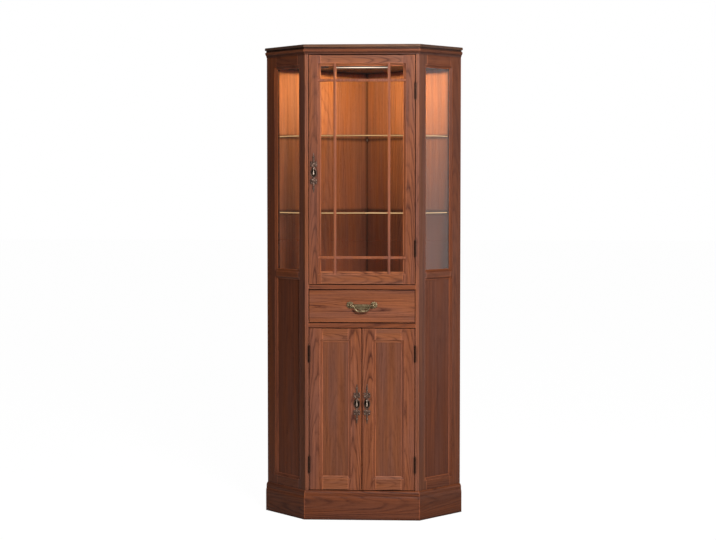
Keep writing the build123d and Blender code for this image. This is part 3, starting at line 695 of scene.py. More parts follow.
# The cornice's cove is darkened fully in its hollows and along its bottom band, as painted shade.
CORNICE_TIMBER = TimberFinish(
    "stained_cornice", (0.050, 0.011, 0.005), (0.42, 0.135, 0.064), grain=0.5, side_shade=0.6, rub=1.1, hollow_shade_level=0.0,
    reach=34 * MM, shade_band=(1.860, 1.8715),
)
TOP_TIMBER = TimberFinish("stained_top", (0.06, 0.026, 0.015), (0.27, 0.130, 0.080), grain=0.6, rub=0.25, side_shade=0.5)
DOOR_TIMBER = TimberFinish("stained_door", (0.070, 0.015, 0.007), (0.43, 0.142, 0.071), grain=0.95)
BAR_TIMBER = TimberFinish("stained_bar", (0.10, 0.024, 0.012), (0.47, 0.158, 0.083), grain=0.4, rub=0.5, hollow_shade_level=1.0)
RAIL_TIMBER = TimberFinish("stained_rail", (0.10, 0.024, 0.010), (0.48, 0.165, 0.076), grain=1.0, ring=3.6 * MM)
# Painted shade: a near-black copy of the inside timber for the shaded underside of the ceiling.
SHADED_CEILING_TIMBER = TimberFinish("stained_ceiling_painted_shade", dark=(0.02, 0.009, 0.006), light=(0.06, 0.027, 0.015), grain=0.4)
INNER_TIMBER = TimberFinish(
    "stained_inside", dark=(0.13, 0.030, 0.016), light=(0.47, 0.155, 0.078), grain=0.6, coat=0.03,
)
DRAWER_TIMBER = TimberFinish("stained_drawer", (0.085, 0.018, 0.008), (0.50, 0.172, 0.084), grain=1.7, ring=4.6 * MM)
PANEL_TIMBER = TimberFinish(
    "stained_panel", dark=(0.09, 0.025, 0.012), light=(0.34, 0.115, 0.058), grain=0.28, ring=3.2 * MM,
)
BOX_TIMBER = TimberFinish("plain_box", dark=(0.36, 0.21, 0.10), light=(0.62, 0.43, 0.25), grain=0.4, coat=0.0)
AGED_BRASS = BrassFinish("aged_brass", (0.13, 0.090, 0.045), (0.60, 0.46, 0.27), 0.8)
PLATE_BRASS = BrassFinish("plate_brass", (0.15, 0.082, 0.060), (0.46, 0.32, 0.25), 0.6)
# Painted shade: a near-black brass for the floor of the pulls' ovals.
SHADED_WELL_BRASS = BrassFinish("well_brass_painted_shade", (0.012, 0.008, 0.006), (0.035, 0.022, 0.015), 0.2)
RUBBED_BRASS = BrassFinish("rubbed_brass", (0.34, 0.25, 0.19), (0.90, 0.75, 0.62), 0.9)
HINGE_BRASS = BrassFinish("hinge_brass", (0.035, 0.018, 0.013), (0.12, 0.065, 0.04), 0.3)
PANE_GLASS = GlassFinish("pane_glass", (0.84, 0.84, 0.83))
SHELF_GLASS = GlassFinish("shelf_glass", (0.78, 0.78, 0.76), (0.90, 0.97, 0.94), painted_edge_glow=(0.25, 0.145, 0.065))
PIN_STEEL = PlainFinish("pin_steel", (0.30, 0.22, 0.16), 0.38, (500.0, 500.0, 500.0), 1.0)
CATCH_PLASTIC = PlainFinish("catch_plastic", (0.06, 0.03, 0.02), 0.5, (700.0, 700.0, 700.0))
LAMP_METAL = PlainFinish("lamp_metal", (0.20, 0.17, 0.14), 0.4, (12.0, 900.0, 900.0), 1.0)
LAMP_DIFFUSER = PlainFinish(
    "lamp_diffuser", (0.08, 0.07, 0.06), 0.5, (500.0, 500.0, 500.0), glow=(1.0, 0.84, 0.66), glow_strength=1.5,
)


# Pieces ----------------------------------------------------------------------------------------
def dress_node(node: str, material: bpy.types.Material) -> None:
    """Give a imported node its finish.

    Args:
        node: The node's name.
        material: Its material.
    """
    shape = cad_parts[node]
    if shape.material_slots:
        for slot in shape.material_slots:
            slot.material = material
    else:
        shape.data.materials.append(material)
    LOG.info("dressed %s in %s", node, material.name)


def node_middle(node: str, right_half: bool = False) -> Vector:
    """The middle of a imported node's box.

    Args:
        node: The node's name.
        right_half: Whether only what lies right of the middle of the cabinet counts.

    Returns:
        The middle, in metres.
    """
    points = [v.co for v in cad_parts[node].data.vertices if v.co.x > 0 or not right_half]
    low = Vector(tuple(min(p[axis] for p in points) for axis in range(3)))
    high = Vector(tuple(max(p[axis] for p in points) for axis in range(3)))
    return (low + high) / 2


@dataclass(frozen=True)
class Board:
    """A timber node, its finish and how its grain lies.

    The seed picks its piece of the tree. A mirrored node has a left-hand copy too, and a member width is given
    where two boards stand side by side in one node. The heart is how deep the tree's heart lies under the face, and
    the taper how fast the rings rise along the board.
    """

    node: str
    finish: TimberFinish
    lie: Lie
    seed: float
    mirrored: bool = False
    member_width: float = 0.0
    heart: float = 48 * MM
    taper: float = 0.05

    def dress(self) -> None:
        """Give the board its finish, with the grain in its own direction."""
        pair_half = 0.0
        if self.member_width:
            across = Vector(self.lie.value[1]).normalized()
            low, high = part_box(self.node)
            pair_half = (abs((high - low).dot(across)) - self.member_width) / 2
        middle = node_middle(self.node, self.mirrored)
        dress_node(self.node, self.finish.material(
            self.node, self.lie, middle, self.seed, self.mirrored, pair_half, self.heart, self.taper,
        ))


def show(item: bpy.types.Object) -> None:
    """Put an object into the scene."""
    bpy.context.scene.collection.objects.link(item)


def solid_from(bm: bmesh.types.BMesh, name: str) -> bpy.types.Object:
    """Turn a bmesh into a piece of the scene.

    Args:
        bm: The finished bmesh, which is freed.
        name: The piece's name.

    Returns:
        The new object, at the origin.
    """
    bmesh.ops.remove_doubles(bm, verts=bm.verts, dist=0.005 * MM)
    bmesh.ops.recalc_face_normals(bm, faces=bm.faces)
    mesh = bpy.data.meshes.new(name)
    bm.to_mesh(mesh)
    bm.free()
    piece = bpy.data.objects.new(name, mesh)
    show(piece)
    mesh.shade_smooth()
    return piece


def cast_together(piece: bpy.types.Object, grain: float, smoothing: int) -> None:
    """Melt overlapping forms into one casting.

    Args:
        piece: The object whose mesh holds the forms.
        grain: Size of the voxels.
        smoothing: Rounds of smoothing.
    """
    melt = piece.modifiers.new("melt", "REMESH")
    melt.mode = "VOXEL"
    melt.voxel_size = grain
    soften = piece.modifiers.new("soften", "SMOOTH")
    soften.iterations = smoothing
    soften.factor = 0.5
    bpy.context.view_layer.update()
    cast = bpy.data.meshes.new_from_object(piece.evaluated_get(bpy.context.evaluated_depsgraph_get()))
    piece.modifiers.clear()
    old, name = piece.data, piece.name
    piece.data = cast
    bpy.data.meshes.remove(old)
    cast.name = name
    cast.shade_smooth()


def cut_flat(piece: bpy.types.Object, y: float) -> None:
    """Cut a casting flat where it lies on the wood, and close the cut.

    Args:
        piece: The object.
        y: Where the wood's face is.
    """
    bm = bmesh.new()
    bm.from_mesh(piece.data)
    cut = bmesh.ops.bisect_plane(
        bm, geom=[*bm.verts, *bm.edges, *bm.faces], plane_co=(0, y, 0), plane_no=(0, 1, 0), clear_outer=True,
    )
    rim = [item for item in cut["geom_cut"] if isinstance(item, bmesh.types.BMEdge)]
    bmesh.ops.holes_fill(bm, edges=rim, sides=0)
    bmesh.ops.recalc_face_normals(bm, faces=bm.faces)
    bm.to_mesh(piece.data)
    bm.free()


def add_ball(bm: bmesh.types.BMesh, middle: Place, half: Place, turn: float = 0.0, segments: int = 24) -> None:
    """Add a ball stretched to its half sizes.

    Args:
        bm: The bmesh that it joins.
        middle: Its middle.
        half: Half its size along X, Y and Z, in millimetres.
        turn: Turn about the Y axis, in degrees.
        segments: Facets round it.
    """
    stretch = Matrix.Diagonal((*(part * MM for part in half), 1.0))
    place = Matrix.Translation(middle) @ Matrix.Rotation(math.radians(turn), 4, "Y") @ stretch
    bmesh.ops.create_uvsphere(bm, u_segments=segments, v_segments=segments // 2, radius=1.0, matrix=place)


def add_turning(
    bm: bmesh.types.BMesh, profile: Sequence[tuple[float, float]], middle: Place, axis: Place, segments: int = 32
) -> None:
    """Spin a profile into a turned form.

    Args:
        bm: The bmesh that it joins.
        profile: Radius and distance along the axis at each point, in millimetres. It either starts and ends on
            the axis or comes back to its start.
        middle: Where the axis starts.
        axis: The axis's direction.
        segments: Facets round it.
    """
    direction = Vector(axis).normalized()
    sideways = direction.orthogonal().normalized()
    start = Vector(middle)
    line = [bm.verts.new(start + sideways * (radius * MM) + direction * (rise * MM)) for radius, rise in profile]
    edges = [bm.edges.new(pair) for pair in zip(line, line[1:])]
    bmesh.ops.spin(
        bm, geom=[*line, *edges], cent=start, axis=direction, angle=math.tau, steps=segments, use_merge=True,
        use_duplicate=False,
    )


def add_ring(bm: bmesh.types.BMesh, middle: Place, half_width: float, half_height: float, wire: float) -> None:
    """Add an oval ring that faces the front.

    Args:
        bm: The bmesh that it joins.
        middle: Its middle.
        half_width: Half width at the middle of the wire.
        half_height: Half height at the middle of the wire.
        wire: Radius of the wire.
    """
    before = set(bm.verts)
    start = bmesh.ops.create_circle(bm, segments=12, radius=wire, matrix=Matrix.Translation((half_width, 0, 0)))
    rim = {edge for vert in start["verts"] for edge in vert.link_edges}
    bmesh.ops.spin(
        bm, geom=[*start["verts"], *rim], cent=(0, 0, 0), axis=(0, 1, 0), angle=math.tau, steps=48, use_merge=True,
    )
    new = [vert for vert in bm.verts if vert not in before]
    bmesh.ops.scale(bm, vec=(1.0, 1.0, half_height / half_width), verts=new)
    bmesh.ops.translate(bm, vec=middle, verts=new)


def add_swept_rod(bm: bmesh.types.BMesh, path: Sequence[Vector], radii: Sequence[float], segments: int = 20) -> None:
    """Add a rod that follows a path, its thickness changing along it.

    Args:
        bm: The bmesh that it joins.
        path: The points that its middle follows.
        radii: Its radius at each point.
        segments: Facets round it.
    """
    rings: list[list[bmesh.types.BMEdge]] = []
    for index, (point, radius) in enumerate(zip(path, radii)):
        ahead = path[min(index + 1, len(path) - 1)] - path[max(index - 1, 0)]
        place = Matrix.Translation(point) @ ahead.to_track_quat("Z", "Y").to_matrix().to_4x4()
        ends = index in (0, len(path) - 1)
        made = bmesh.ops.create_circle(bm, cap_ends=ends, segments=segments, radius=radius, matrix=place)
        rings.append(list({edge for vert in made["verts"] for edge in vert.link_edges}))
    for lower, upper in zip(rings, rings[1:]):
        bmesh.ops.bridge_loops(bm, edges=[*lower, *upper])


def add_prism(bm: bmesh.types.BMesh, outline: Sequence[Vector], reach: Place) -> None:
    """Add a straight length of a moulding.

    Args:
        bm: The bmesh that it joins.
        outline: The corners of its section.
        reach: The way from this section to the other end.
    """
    start = bm.faces.new([bm.verts.new(point) for point in outline])
    made = bmesh.ops.extrude_face_region(bm, geom=[start], use_keep_orig=True)
    far = [item for item in made["geom"] if isinstance(item, bmesh.types.BMVert)]
    bmesh.ops.translate(bm, vec=reach, verts=far)


def fit_piece(
    piece: bpy.types.Object, material: bpy.types.Material, body: str, nodes: Iterable[str] = ()
) -> None:
    """Put a finished piece on its body.

    Args:
        piece: The object.
        material: Its finish.
        body: The CAD body that it rides on.
        nodes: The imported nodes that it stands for.
    """
    piece.data.materials.append(material)
    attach(piece, body)
    if nodes:
        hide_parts(*nodes)
    LOG.info("built %s on %s", piece.name, body)


# Sub-assemblies --------------------------------------------------------------------------------
@dataclass
class Carcase:
    """The five-sided case with its side frames, boards, mouldings and shelves."""

    boards: tuple[Board, ...] = (
        Board("front_post_left", POST_TIMBER, Lie.FRONT_UPRIGHT, 3.1),
        Board("front_post_right", POST_TIMBER, Lie.FRONT_UPRIGHT, 8.4),
        Board("rear_stile_left", SHADED_FLANK_TIMBER, Lie.SIDE_UPRIGHT, 17.3),
        Board("rear_stile_right", SHADED_FLANK_TIMBER, Lie.SIDE_UPRIGHT, 23.9),
        Board("side_top_rails", SHADED_FLANK_TIMBER, Lie.SIDE_LEVEL, 31.7, mirrored=True),
        Board("side_middle_rails", SHADED_FLANK_TIMBER, Lie.SIDE_LEVEL, 36.1, mirrored=True),
        Board("side_bottom_rails", SHADED_FLANK_TIMBER, Lie.SIDE_LEVEL, 40.5, mirrored=True),
        Board("side_panels", SHADED_SIDE_TIMBER, Lie.SIDE_UPRIGHT, 47.1, mirrored=True, heart=110 * MM, taper=0.02),
        Board("top_rail", CASE_TIMBER, Lie.FRONT_LEVEL, 53.9, heart=25 * MM),
        Board("display_rail", CASE_TIMBER, Lie.FRONT_LEVEL, 57.6, heart=25 * MM),
        Board("drawer_rail", CASE_TIMBER, Lie.FRONT_LEVEL, 61.3, heart=25 * MM),
        Board("bottom_rail", CASE_TIMBER, Lie.FRONT_LEVEL, 65.0, heart=25 * MM),
        Board("cornice_front", CORNICE_TIMBER, Lie.FRONT_LEVEL, 71.3),
        Board("cornice_sides", CORNICE_TIMBER, Lie.SIDE_LEVEL, 83.3, mirrored=True),
        Board("plinth_front", BASE_TIMBER, Lie.FRONT_LEVEL, 77.4),
        Board("plinth_sides", BASE_TIMBER, Lie.SIDE_LEVEL, 90.0, mirrored=True),
        Board("top_board", TOP_TIMBER, Lie.FLAT, 97.7, heart=90 * MM),
        Board("ceiling_board", SHADED_CEILING_TIMBER, Lie.FLAT, 99.1, heart=90 * MM),
        Board("display_floor", INNER_TIMBER, Lie.FLAT, 101.9, heart=90 * MM),
        Board("drawer_deck", INNER_TIMBER, Lie.FLAT, 110.2, heart=90 * MM),
        Board("cupboard_floor", INNER_TIMBER, Lie.FLAT, 118.5, heart=90 * MM),
        Board("cupboard_shelf", INNER_TIMBER, Lie.FLAT, 126.8, heart=90 * MM),
        Board("back_panel_left", INNER_TIMBER, Lie.SIDE_UPRIGHT, 151.3, heart=120 * MM),
        Board("back_panel_right", INNER_TIMBER, Lie.BACK_UPRIGHT, 163.1, heart=120 * MM),
        Board("corner_batten", INNER_TIMBER, Lie.FRONT_UPRIGHT, 171.3),
        Board("drawer_guides", INNER_TIMBER, Lie.DRAWER_SIDE, 177.7, mirrored=True),
    )
    stop_overlap: float = 5.6
    stop_lap: float = 5.2
    stop_gap: float = 0.7
    stop_depth: float = 5.4
    stop_bevel: float = 1.0
    sill_height: float = 7.4

    def dress(self) -> None:
        """Dress every fixed node of the case."""
        for board in self.boards:
            board.dress()
        dress_node("side_panes", PANE_GLASS.material())
        shelf_glass = SHELF_GLASS.material()
        dress_node("glass_shelf_lower", shelf_glass)
        dress_node("glass_shelf_upper", shelf_glass)
        dress_node("shelf_pins", PIN_STEEL.material())
        dress_node("door_catches", CATCH_PLASTIC.material())
        dress_node("case_hinges", HINGE_BRASS.material())
        self.build_stops()

    def build_stops(self) -> None:
        """Fit the beads that the glass door closes against: one behind each post, one on the display's floor."""
        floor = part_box("display_floor")[1].z
        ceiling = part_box("ceiling_board")[0].z
        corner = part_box("display_rail")[1]
        inner, outer, gap, deep = -self.stop_overlap, self.stop_lap, self.stop_gap, self.stop_depth
        bevel, top = self.stop_bevel, self.sill_height
        upright = [
            (0.2, 0.0), (outer, 0.0), (outer, deep), (inner + bevel, deep), (inner, deep - bevel), (inner, gap),
            (0.2, gap),
        ]
        sill = [(gap, 0.0), (deep, 0.0), (deep, top - bevel), (deep - bevel, top), (1.2, top), (gap, top - 0.5)]
        bm = bmesh.new()
        for side in (-1, 1):
            outline = [Vector((side * (corner.x + x * MM), corner.y + y * MM, floor)) for x, y in upright]
            add_prism(bm, outline, (0, 0, ceiling - floor))
        reach = corner.x - 6.0 * MM
        add_prism(bm, [Vector((-reach, corner.y + y * MM, floor + z * MM)) for y, z in sill], (2 * reach, 0, 0))
        stops = solid_from(bm, "display_door_stops")
        stops.data.shade_flat()
        middle = Vector((0, corner.y, ceiling))
        material = INNER_TIMBER.material("display_door_stops", Lie.FRONT_UPRIGHT, middle, 181.9)
        fit_piece(stops, material, "case")


@dataclass
class FramedDoor:
    """A framed door, with a panel or a pane."""

    name: str
    stile: float
    rail: float
    board: float
    infill: str

    def dress(self) -> None:
        """Dress the door's frame, its infill and its hinges."""
        stiles, rails = f"{self.name}_stiles", f"{self.name}_rails"
        Board(stiles, DOOR_TIMBER, Lie.FRONT_UPRIGHT, self.board, member_width=self.stile).dress()
        Board(rails, RAIL_TIMBER, Lie.FRONT_LEVEL, self.board + 7.7, member_width=self.rail, heart=30 * MM).dress()
        dress_node(f"{self.name}_hinges", HINGE_BRASS.material())
        if self.infill.endswith("pane"):
            dress_node(self.infill, PANE_GLASS.material())
            Board("glazing_bars", BAR_TIMBER, Lie.FRONT_UPRIGHT, self.board + 11.1).dress()
        else:
            seed = self.board + 13.3
            Board(self.infill, PANEL_TIMBER, Lie.FRONT_UPRIGHT, seed, heart=110 * MM, taper=0.02).dress()


@dataclass
class Pull:
    """A cast plate with a turned drop that swings in two ears.

    Both ends of the plate are alike. Its sizes are in millimetres, apart from the melt: the scrolls' place, height,
    half sizes and turn, the finial's place, height and half sizes, and how far out the well is at shares of its
    reach. The shell holds the angles of its ribs.
    """

    body: str
    drop_body: str
    melt: float = 0.45 * MM
    shell: tuple[float, ...] = (-62, -31, 0, 31, 62)
    scrolls: tuple[tuple[float, float, float, Place, float], ...] = (
        (9, 41, 0, (4.9, 2.4, 4.9), 0), (9, 41, 1.2, (2.1, 2.4, 2.1), 0), (11.0, 30, 0, (3.0, 2.3, 8.0), 10),
    )
    finial: tuple[tuple[float, float, Place], ...] = (
        (48, 0, (4.2, 2.3, 12)), (53, 0, (2.8, 3.1, 2.6)), (62, 0, (5.3, 2.5, 5.3)), (62, 0.9, (2.8, 2.6, 3.4)),
        (70.5, 0, (2.5, 2.0, 9.4)),
    )
    well_half: tuple[float, float] = (10.2, 16.3)
    well_dish: tuple[tuple[float, float], ...] = ((1.0, 2.40), (0.8, 2.274), (0.55, 2.156), (0.25, 2.072), (0.0, 2.05))
    well_back: float = 1.2
    ear: float = 3.1
    eye: float = 3.2
    drop_profile: tuple[tuple[float, float], ...] = (
        (0.0, 0.0), (1.6, 0.25), (3.1, 1.3), (4.2, 3.0), (4.6, 5.4), (4.45, 8.2), (3.8, 11.4), (2.9, 14.4),
        (2.1, 17.0), (1.8, 18.6), (1.9, 19.2), (2.8, 19.7), (3.0, 20.3), (2.8, 20.9), (1.9, 21.4),
    )
    eye_profile: tuple[tuple[float, float], ...] = (
        (1.2, -1.4), (2.3, -1.9), (3.2, -1.3), (3.2, 1.3), (2.3, 1.9), (1.2, 1.4), (1.2, -1.4),
    )

    def __post_init__(self) -> None:
        """Read the plate's and the drop's places from the frame."""
        low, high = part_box(f"{self.body}_plate")
        self.x = (low.x + high.x) / 2
        self.z = (low.z + high.z) / 2
        self.back = high.y
        drop_low, drop_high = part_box(f"{self.body}_drop")
        self.pin_y = (drop_low.y + drop_high.y) / 2
        self.pin_z = drop_high.z - self.eye * MM
        self.drop_bottom = drop_low.z

    def at(self, x: float, z: float, out: float = 0.0) -> Place:
        """A point on the plate, given in millimetres from its middle and out from the wood."""
        return (self.x + x * MM, self.back - out * MM, self.z + z * MM)

    def build_plate(self) -> bpy.types.Object:
        """The cast plate with its shells, scrolls and finials.

        Returns:
            The plate.
        """
        bm = bmesh.new()
        add_ball(bm, self.at(0, 0), (13.8, 2.0, 21), segments=48)
        add_ring(bm, self.at(0, 0, 1.7), 10.9 * MM, 17.0 * MM, 1.3 * MM)
        add_ball(bm, self.at(0, 0), (6.0, 1.9, 56), segments=32)
        for end in (-1, 1):
            for spread in self.shell:
                angle = math.radians(spread)
                rib = self.at(8.6 * math.sin(angle), end * (25 + 8.0 * math.cos(angle)))
                add_ball(bm, rib, (2.7, 2.9, 8.2), turn=end * spread, segments=20)
            for side in (-1, 1):
                for x, z, out, half, turn in self.scrolls:
                    add_ball(bm, self.at(side * x, end * z, out), half, turn=side * end * turn)
            for z, out, half in self.finial:
                add_ball(bm, self.at(0, end * z, out), half)
        plate = solid_from(bm, f"{self.body}_plate_cast")
        cast_together(plate, self.melt, 2)
        cut_flat(plate, self.back)
        return plate

    def build_well(self) -> bpy.types.Object:
        """The floor of the oval that the drop hangs over, near black as painted shade.

        Returns:
            The floor, a shallow dish inside the ring.
        """
        width, height = self.well_half
        dish = [(0.0, self.well_back), (width, self.well_back)]
        dish += [(share * width, out) for share, out in self.well_dish]
        bm = bmesh.new()
        add_turning(bm, dish, (0, 0, 0), (0, -1, 0), 40)
        bmesh.ops.scale(bm, vec=(1.0, 1.0, height / width), verts=bm.verts)
        bmesh.ops.translate(bm, vec=self.at(0, 0), verts=bm.verts)
        return solid_from(bm, f"{self.body}_plate_well")

    def build_ears(self) -> bpy.types.Object:
        """The two ears and the pin that the drop hangs on.

        Returns:
            The ears.
        """
        bm = bmesh.new()
        for side in (-1, 1):
            x = self.x + side * self.ear * MM
            foot = Vector((x, self.back - 0.8 * MM, self.pin_z - 0.6 * MM))
            add_swept_rod(bm, [foot, Vector((x, self.pin_y, self.pin_z))], [1.6 * MM, 1.25 * MM], 16)
            add_ball(bm, (x, self.pin_y, self.pin_z), (0.8, 2.3, 2.3))
        ends = [Vector((self.x + side * (self.ear + 0.5) * MM, self.pin_y, self.pin_z)) for side in (-1, 1)]
        add_swept_rod(bm, ends, [1.1 * MM, 1.1 * MM], 16)
        return solid_from(bm, f"{self.body}_plate_ears")

    def build_drop(self) -> bpy.types.Object:
        """The turned drop below its eye.

        Returns:
            The drop.
        """
        bm = bmesh.new()
        below_eye = (self.pin_z - self.drop_bottom) / MM - self.eye
        profile = [*self.drop_profile, (1.7, below_eye + 0.4), (0.0, below_eye + 0.7)]
        add_turning(bm, profile, (self.x, self.pin_y, self.drop_bottom), (0, 0, 1))
        add_turning(bm, self.eye_profile, (self.x, self.pin_y, self.pin_z), (1, 0, 0), 24)
        return solid_from(bm, f"{self.body}_drop_turned")

    def build(self, brass: bpy.types.Material, well: bpy.types.Material, rubbed: bpy.types.Material) -> None:
        """Build the plate, its well and ears and the drop, and fit them.

        Args:
            brass: The plate's finish.
            well: The finish of the oval's floor, near black as painted shade.
            rubbed: The drop's finish.
        """
        fit_piece(self.build_plate(), brass, self.body, [f"{self.body}_plate"])
        fit_piece(self.build_well(), well, self.body)
        fit_piece(self.build_ears(), brass, self.body)
        fit_piece(self.build_drop(), rubbed, self.drop_body, [f"{self.body}_drop"])


@dataclass
class BailHandle:
    """The drawer's handle: two winged roses on a bar, two posts and a swinging bail.

    Sizes are in millimetres, apart from the span and the melt. The bar's swellings are given by place and half
    sizes, the bows along its edges by height, thickness and bend, the petals by angle, reach, length and width, and
    the post's head by radius and distance from the pivot.
    """

    span: float = 45 * MM
    melt: float = 0.5 * MM
    post_ball: float = 5.2
    grip_r: float = 5.0
    bar: tuple[tuple[float, float, float, float], ...] = (
        (0, -6, 31, 9.5), (0, -2, 40, 4.5), (-23, -5, 15, 8.0), (23, -5, 15, 8.0), (0, -12, 17, 7.0),
    )
    bows: tuple[tuple[float, float, float], ...] = ((2.6, 1.6, -0.2), (-15.5, 1.5, 1.0))
    petals: tuple[tuple[float, float, float, float], ...] = (
        (66, 10.6, 9.5, 3.8), (38, 12.0, 11, 3.9), (12, 11.5, 11, 3.8), (-16, 11.5, 10.5, 3.6),
        (98, 10.0, 9.0, 3.6), (-48, 9.5, 9.5, 3.5), (134, 9.5, 8.5, 3.2), (-132, 9.0, 8.0, 3.2),
        (-90, 8.5, 9.0, 3.4),
    )
    post_foot: tuple[tuple[float, float], ...] = ((0.0, 0.5), (5.0, 0.9), (5.2, 2.2), (3.2, 3.4), (2.7, 5.0))
    post_head: tuple[tuple[float, float], ...] = (
        (2.7, -6.6), (3.6, -5.8), (3.6, -5.0), (3.3, -4.2), (4.5, -2.6), (5.2, 0.0), (4.5, 2.6), (2.6, 4.5),
    )
    grip_half: tuple[tuple[float, float], ...] = (
        (0.0, -16.5), (3.2, -16.2), (4.0, -15.2), (3.5, -14.1), (3.4, -13.2), (4.2, -9.0), (4.8, -4.5),
    )
    bail_steps: int = 56
    bend: float = 0.60
    bend_softness: float = 0.055
    level_reach: float = 26.5
    arm_reach: float = 14.0

    def __post_init__(self) -> None:
        """Read the handle's place from the frame."""
        low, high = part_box("handle_plate")
        bail_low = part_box("drawer_bail")[0]
        self.back = high.y
        self.z = (low.z + high.z) / 2
        self.pivot_y = low.y + self.post_ball * MM
        self.bail_depth = self.z - bail_low.z - self.grip_r * MM

    def build_plate(self) -> bpy.types.Object:
        """The bar and its roses, cast in one.

        Returns:
            The plate.
        """
        bm = bmesh.new()
        for x, z, half_x, half_z in self.bar:
            add_ball(bm, (x * MM, self.back, self.z + z * MM), (half_x, 1.7, half_z), segments=40)
        for z, thick, bend in self.bows:
            bow = [
                Vector((x * MM, self.back - 0.6 * MM, self.z + (z + x * x / 280 * bend) * MM))
                for x in range(-33, 34, 6)
            ]
            add_swept_rod(bm, bow, [thick * MM] * len(bow), 12)
        for side in (-1, 1):
            x = side * self.span
            add_ball(bm, (x, self.back, self.z + 2 * MM), (10, 2.6, 10), segments=32)
            for angle, reach, length, width in self.petals:
                turn = math.radians(angle)
                centre = (x + side * reach * MM * math.cos(turn), self.back, self.z + reach * MM * math.sin(turn))
                add_ball(bm, centre, (length * 0.62, 2.3, width), turn=-side * angle, segments=20)
            add_ball(bm, (x, self.back - 1.2 * MM, self.z), (5.4, 2.6, 5.4))
        plate = solid_from(bm, "handle_plate_cast")
        cast_together(plate, self.melt, 2)
        cut_flat(plate, self.back)
        return plate

    def build_posts(self) -> bpy.types.Object:
        """The two turned posts that carry the bail.

        Returns:
            The posts.
        """
        bm = bmesh.new()
        reach = (self.back - self.pivot_y) / MM
        head = [(radius, reach + rise) for radius, rise in self.post_head]
        profile = [*self.post_foot, *head, (0.0, reach + self.post_ball)]
        for side in (-1, 1):
            add_turning(bm, profile, (side * self.span, self.back, self.z), (0, -1, 0))
        return solid_from(bm, "handle_posts")

    def build_bail(self) -> bpy.types.Object:
        """The bail, swelling towards a turned grip at its middle.

        Returns:
            The bail.
        """
        bm = bmesh.new()
        path, radii = [], []
        for step in range(self.bail_steps + 1):
            t = step / self.bail_steps * 2 - 1
            fall = 1 / (1 + math.exp((abs(t) - self.bend) / self.bend_softness))
            level = self.level_reach * min(1.0, abs(t) / self.bend)
            x = math.copysign(level + self.arm_reach * max(0.0, (abs(t) - 0.50) / 0.50), t) * MM
            path.append(Vector((x, self.pivot_y, self.z - self.bail_depth * fall)))
            radii.append((2.6 + 1.1 * fall) * MM)
        add_swept_rod(bm, path, radii)
        far_half = [(radius, -along) for radius, along in reversed(self.grip_half)]
        grip = [*self.grip_half, (self.grip_r, 0.0), *far_half]
        add_turning(bm, grip, (0, self.pivot_y, self.z - self.bail_depth), (1, 0, 0))
        return solid_from(bm, "drawer_bail_turned")

    def build(self, brass: bpy.types.Material) -> None:
        """Build the plate, the posts and the bail, and fit them.

        Args:
            brass: Their finish.
        """
        fit_piece(self.build_plate(), brass, "drawer", ["handle_plate"])
        fit_piece(self.build_posts(), brass, "drawer")
        fit_piece(self.build_bail(), brass, "bail", ["drawer_bail"])


@dataclass
class Drawer:
    """The drawer's front and its plain box."""

    boards: tuple[Board, ...] = (
        Board("drawer_front", DRAWER_TIMBER, Lie.FRONT_LEVEL, 207.1, heart=22 * MM, taper=0.03),
        Board("drawer_sides", BOX_TIMBER, Lie.DRAWER_SIDE, 213.3, mirrored=True),
        Board("drawer_back", BOX_TIMBER, Lie.FRONT_LEVEL, 219.7),
        Board("drawer_bottom", BOX_TIMBER, Lie.FLAT, 223.1, heart=90 * MM),
    )

    def dress(self) -> None:
        """Dress the drawer's timber."""
        for board in self.boards:
            board.dress()


@dataclass
class Lamp:
    """The lamp under the display's ceiling, lit."""

    warmth: Colour = (1.0, 0.97, 0.50)
    watts: float = 3.5
    spots: int = 4
    below: float = 4 * MM
    spread: float = 180
    soft_edge: float = 0.03
    source_r: float = 9 * MM

    def build(self) -> None:
        """Dress the lamp's housing and lens, and hang a row of small unseen lights under the lens."""
        dress_node("lamp_housing", LAMP_METAL.material())
        dress_node("lamp_lens", LAMP_DIFFUSER.material())
        low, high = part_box("lamp_lens")
        for spot in range(self.spots):
            light = bpy.data.lights.new(f"cabinet_lamp_{spot}", "SPOT")
            light.spot_size = math.radians(self.spread)
            light.spot_blend = self.soft_edge
            light.shadow_soft_size = self.source_r
            light.energy = self.watts
            light.color = self.warmth
            lamp = bpy.data.objects.new(f"cabinet_lamp_{spot}", light)
            x = low.x + (high.x - low.x) * (spot + 0.5) / self.spots
            lamp.location = (x, (low.y + high.y) / 2, low.z - self.below)
            lamp.visible_camera = lamp.visible_glossy = lamp.visible_transmission = False
            show(lamp)


